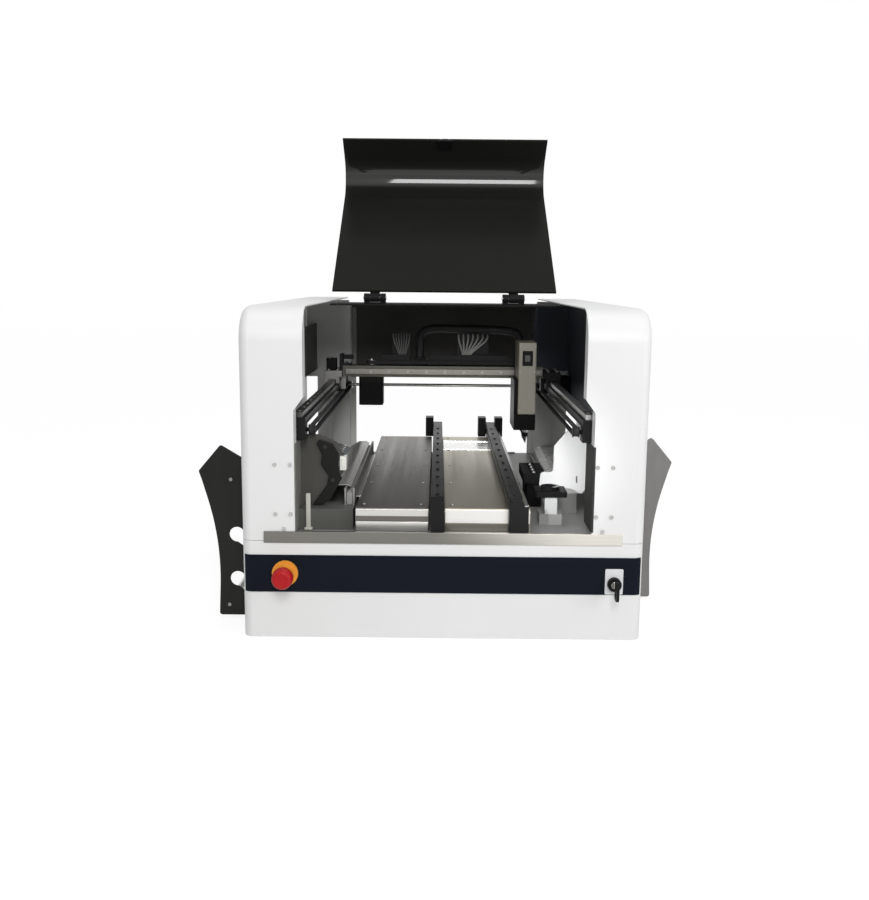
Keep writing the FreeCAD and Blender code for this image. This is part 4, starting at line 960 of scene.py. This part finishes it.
# Outer covers
# The front panel, the two side covers with their rounded shoulders, and the rear panel are bent sheet.
# They are powder coated, white outside and grey at the back. A small angle stiffens the hood's corner.
finished("front_panel", case_white)
finished("left_side_cover", case_white)
finished("right_side_cover", case_white)
finished("rear_panel", powder_coat("rear grey", (0.90, 0.90, 0.875), 0.5))
cover_black = powder_coat("cover black", (0.115, 0.115, 0.113), 0.55, 0.1)
cover_dark = powder_coat("cover dark", (0.020, 0.020, 0.020), 0.6, 0.02)
cover_sheet = top_of("top_cover") - 12
finished("top_cover", cover_black, cover_dark, pick=lambda middle: int(middle.z > cover_sheet))
cover_ceiling = cover_sheet - 4
angle_grey = powder_coat("angle grey", (0.42, 0.42, 0.40), 0.5)
machined(
    "hood_corner_angle", angle_grey, 0.0004, "chassis", "black_plastic",
    ((-182.8, -174), (340.6, 341.9), (300, cover_ceiling)),
    ((-182.8, -181.6), (334, 341.9), (300, cover_ceiling)))
liner_grey = powder_coat("liner grey", (0.10, 0.10, 0.088), 0.5, 0.2)
liner_black = powder_coat("liner black", (0.105, 0.115, 0.140), 0.5, 0.1)
finished("side_liners", liner_grey, liner_black, pick=lambda middle: int(middle.x > 0))


# Front band and sill
# A gloss blue-black strip is bonded along the front panel and carries the two controls.
# The sill above it is a brushed steel angle that guards the edge of the bed.

def sill_painted_sheen(name, dull, bright):
    """Brushed steel, dull at the left and brighter towards the right, a painted sheen for the light's
    reflection.
    """
    metal = Finish(name)
    lines = metal.lines(800.0, 4.0, "X")
    streaks = metal.lines(50.0, 3.0, "X", 0.05)
    # Painted sheen: the tone and gloss rise towards the right, standing in for the light's reflection.
    painted_sheen = metal.rise(metal.axis("X") + 0.08 * (streaks - 0.5), -0.02, 0.22)
    tone = metal.tint(painted_sheen, dull, bright)
    tone = metal.tint(0.35 * lines, tone, shaded(dull, 0.7))
    rough = 0.46 - 0.12 * painted_sheen + 0.1 * (lines - 0.5)
    return metal.surface(Base_Color=tone, Metallic=1.0, Roughness=rough, Normal=metal.relief(lines, 0.08))


finished("front_band", dark_glass("band gloss", (0.0075, 0.0100, 0.0175), 0.2, 0.05))
finished("front_sill", sill_painted_sheen("sill steel", (0.195, 0.19, 0.17), (0.80, 0.77, 0.71)), width=0.0005)


# Column shade strips
# Dark strips on the front columns' inner faces below the Y beams, black on the right, one narrow at the front
# edge.
# Their dark colour is painted shade on the columns' inner faces, between the covers and the posts behind
# them.
# Painted shade: these dark strips stand for the shade on the columns' inner faces.
column_shade_black = rubber("trim felt black", (0.018, 0.018, 0.017))
column_shade_grey = rubber("trim felt grey", (0.15, 0.15, 0.136))
machined(
    "column_shade_strip_right", column_shade_black, 0.0004, "chassis", "black_plastic",
    ((202.6, 204), (-346.5, -286), (155, 274)), ((202.2, 204), (-348, -346.5), (155, 274)),
    ((203.4, 206.4), (-350.9, -349.8), (155, 274)))
machined(
    "column_shade_strip_left", column_shade_grey, 0.0004, "chassis", "black_plastic",
    ((-204, -202.6), (-346.5, -290.5), (177, 274)), ((-204, -202.2), (-348, -346.5), (150, 274)),
    ((-204, -202.6), (-346.5, -312.5), (150, 177)))


# Cover screws
# Cap screws hold the front columns to the posts inside and the reel racks to the side covers.
# They are zinc-plated steel with a hexagon socket.
column_spots = [(209.5, 246), (230.5, 246), (209.5, 177), (230.5, 177), (219, 156.5)]
cover_places = [((side * x, -350, z), forward) for x, z in column_spots for side in (-1, 1)]
for side, front_flange in ((-1, -296), (1, -192)):
    for y in (front_flange, 166):
        cover_places += [((side * 280, y, z), (side, 0, 0)) for z in (40, 126, 212)]
cover_heads = screws("cover_cap_screws", "chassis", screw_steel, 3.0, 1.8, cover_places)
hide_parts("cover_screws")


# Emergency stop
# A red mushroom button on a yellow collar, clamped through the band with its contacts behind.
# Both are moulded plastic with a light gloss, and the button springs back when it is let go.
stop_yellow = moulded("stop yellow", (0.80, 0.33, 0.035), 0.4)
stop_red = moulded("stop red", (0.46, 0.010, 0.014), 0.3, 0.2)
collar_back = -351.3
finished(
    "estop_collar", stop_yellow, black_plastic, width=0.0006, pick=lambda middle: int(middle.y > collar_back))
stop_profile = [
    (0, -342.1), (6.3, -342.1), (6.3, -370.6), (12.4, -370.8), (13.9, -371.6), (14.4, -373.2),
    (14.45, -379.5), (14.2, -384.0), (13.2, -387.2), (11.4, -389.0), (9.6, -389.6), (8.8, -389.4),
    (6.0, -388.5), (0, -388.2)]
stop_axis = (-218, 0, 94)
stop_cap = turned("stop_button", stop_profile, stop_axis, "Y", stop_red, 56)
carried(eased(stop_cap, 0.0), "estop_button")


# Key switch
# A lock with a black bezel on a white legend plate, through the right-hand end of the band.
# Its key has a bright blade and a black moulded bow, and turns with the lock's core.
legend_white = moulded("legend white", (0.78, 0.79, 0.80), 0.4)
key_steel = ground_steel("key nickel", (0.60, 0.58, 0.53), 0.24)
legend_y = (-352.75, -351.4)
bow_back = -367.4


def lock_finish(middle):
    """White on the legend plate and black elsewhere."""
    return 0 if legend_y[0] < middle.y < legend_y[1] else 1


finished("key_switch_body", legend_white, black_plastic, width=0.0003, pick=lock_finish)
finished("key", key_steel, black_plastic, width=0.0005, pick=lambda middle: int(middle.y < bow_back))


# Reel racks
# Two cut plates on each side, with a curved outer edge and hooks for the reels' bars.
# They are screwed to the side covers by their flanges, and steel rods tie each pair together.
rod_spots = ((304, 212), (310, 26))
rod_reach = 5.2


def rack_finish(middle):
    """The rods' finish close to either rod, and the plates' finish elsewhere."""
    spot = Vector((abs(middle.x), middle.z))
    return int(min((spot - Vector(rod)).length for rod in rod_spots) < rod_reach)


rod_ends = []
for side, front_y in ((-1, -285.5), (1, -181.5)):
    for x, z in rod_spots:
        rod_ends += [((side * x, y, z), (0, way, 0)) for y, way in ((front_y, -1), (155.5, 1))]
rod_steel = brushed("rod end steel", (0.30, 0.30, 0.29), "X", 0.42)
screws("rod_end_screws", "chassis", rod_steel, 2.6, 1.6, rod_ends)
rack_dark = plate_dark("rack dark", (0.021, 0.021, 0.019))
# Painted light: the right rack is the same dark sheet as the left one, made paler where light from the right
# falls.
rack_painted_light = plate_dark("rack pale", (0.21, 0.205, 0.20))
finished("left_reel_rack", rack_dark, guide_steel, pick=rack_finish)
finished("right_reel_rack", rack_painted_light, guide_steel, pick=rack_finish)


# Lid and its hinges
# A smoked acrylic sheet, bent over at its free edge with a finger notch there, nearly opaque.
# Two black hinges on the top cover hold it, and friction keeps it open.
hinge_black = moulded("hinge black", (0.008, 0.008, 0.0085), 0.4, 0.08)
finished("lid_hinge_bases", hinge_black, width=0.0006)
finished("lid_hinge_pins", guide_steel, width=0.0003)
finished("lid_hinge_leaves", hinge_black, width=0.0006)


def smoke_acrylic(name, colour):
    """Smoked acrylic sheet, glossy where it was heated and bent, with finger haze on the flat."""
    sheet = Finish(name)
    haze = sheet.noise(9.0, 4.0)
    dust = sheet.noise(1500.0, 2.0)
    height = sheet.axis("Z")
    bend = sheet.rise(height, 0.664, 0.672) - sheet.rise(height, 0.690, 0.725)
    tone = sheet.tint(sheet.rise(dust, 0.66, 0.80), colour, shaded(colour, 1.5))
    rough = 0.22 + 0.14 * sheet.rise(haze, 0.4, 0.8)
    return sheet.surface(
        Base_Color=tone, Roughness=rough, Specular_IOR_Level=0.025, Coat_Weight=bend,
        Coat_Roughness=0.04, Coat_IOR=1.49)


finished("lid_panel", smoke_acrylic("smoke acrylic", (0.0150, 0.0150, 0.0132)), width=0.0007)
catch = machined(
    "lid_catch", hinge_black, 0.0008, "lid", "black_paint",
    ((-13, 13), (-2, 19), (-3.4, -0.1)), ((-7, 7), (-1, 5.5), (-0.2, 3.4)))
lip_end = Vector((0.0, 0.18187, 0.74319))
catch.data.transform(Matrix.Translation(lip_end) @ Matrix.Rotation(math.radians(-37), 4, "X"))


# Floor, light and camera
# A plain white floor with the machine's own soft shadow, and a white surround.
# Broad soft lamps stand in front on both sides and above, as in a small studio.

def seen_directly(wiring):
    """One for what the camera, a reflection or a window shows, and nought for lighting."""
    path = wiring.tree.nodes.new("ShaderNodeLightPath")
    rays = [Shade(wiring, path.outputs[label]) for label in
            ("Is Camera Ray", "Is Glossy Ray", "Is Transmission Ray")]
    return wiring.node("ShaderNodeMath", {"operation": "MINIMUM"}, rays[0] + rays[1] + rays[2], 1.0)


def floor_white():
    """White where it is seen directly, and a plain pale surface for the light that it sends back."""
    floor = Finish("floor white")
    seen = seen_directly(floor)
    tone = floor.tint(seen, (0.72, 0.72, 0.72), (0.22, 0.22, 0.22))
    glow = floor.tint(seen, (0.0, 0.0, 0.0), (0.84, 0.84, 0.84))
    return floor.surface(Base_Color=tone, Roughness=0.9, Emission_Color=glow, Emission_Strength=1.0)


floor_shape = bmesh.new()
bmesh.ops.create_grid(floor_shape, x_segments=1, y_segments=1, size=14.0)
built("floor", floor_shape, floor_white())

surround = bpy.data.worlds.new("white surround")
bpy.context.scene.world = surround
surround.use_nodes = True
sky = Wiring(surround.node_tree)
sky.tree.nodes.clear()
shown = seen_directly(sky)
ambient = 0.34
glow = sky.node("ShaderNodeBackground", None, (1.0, 1.0, 1.0, 1.0), shown + ambient * (1.0 - shown))
sky.node("ShaderNodeOutputWorld", None, glow)


def soft_lamp(name, place, aim, size, watts, spread=180.0):
    """A rectangular lamp aimed at a point, hidden from the camera."""
    lamp = bpy.data.lights.new(name, "AREA")
    lamp.shape = "RECTANGLE"
    lamp.size, lamp.size_y = size
    lamp.energy = watts
    lamp.spread = math.radians(spread)
    holder = bpy.data.objects.new(name, lamp)
    holder.visible_camera = False
    bpy.context.scene.collection.objects.link(holder)
    towards = Vector(aim) - Vector(place)
    holder.matrix_world = Matrix.Translation(place) @ towards.to_track_quat("-Z", "Y").to_matrix().to_4x4()


soft_lamp("front softbox", (0.10, -2.45, 1.50), (0.0, 0.0, 0.35), (0.66, 0.95), 25.5)
soft_lamp("right softbox", (1.7, -1.6, 0.9), (0.0, 0.0, 0.25), (1.2, 1.0), 10.5)
soft_lamp("overhead softbox", (0.0, -0.25, 2.3), (0.0, 0.0, 0.3), (1.8, 1.3), 10.0)
soft_lamp("inside fill", (-0.45, -1.5, 0.6), (0.19, -0.19, 0.22), (0.06, 0.06), 0.055, 10.0)

camera = bpy.data.cameras.new("photo camera")
camera.sensor_width = 36.0
camera.lens = 40.2
camera.clip_start = 0.05
camera_place = (-0.0095, -1.695, 0.497)
pitch = math.radians(90 - 9.65)
yaw, roll = math.radians(0.14), math.radians(0.52)
turn = Matrix.Rotation(yaw, 4, "Z") @ Matrix.Rotation(pitch, 4, "X") @ Matrix.Rotation(roll, 4, "Z")
stand = bpy.data.objects.new("photo camera", camera)
bpy.context.scene.collection.objects.link(stand)
stand.matrix_world = Matrix.Translation(camera_place) @ turn
bpy.context.scene.camera = stand
bpy.context.scene.view_settings.view_transform = "Standard"
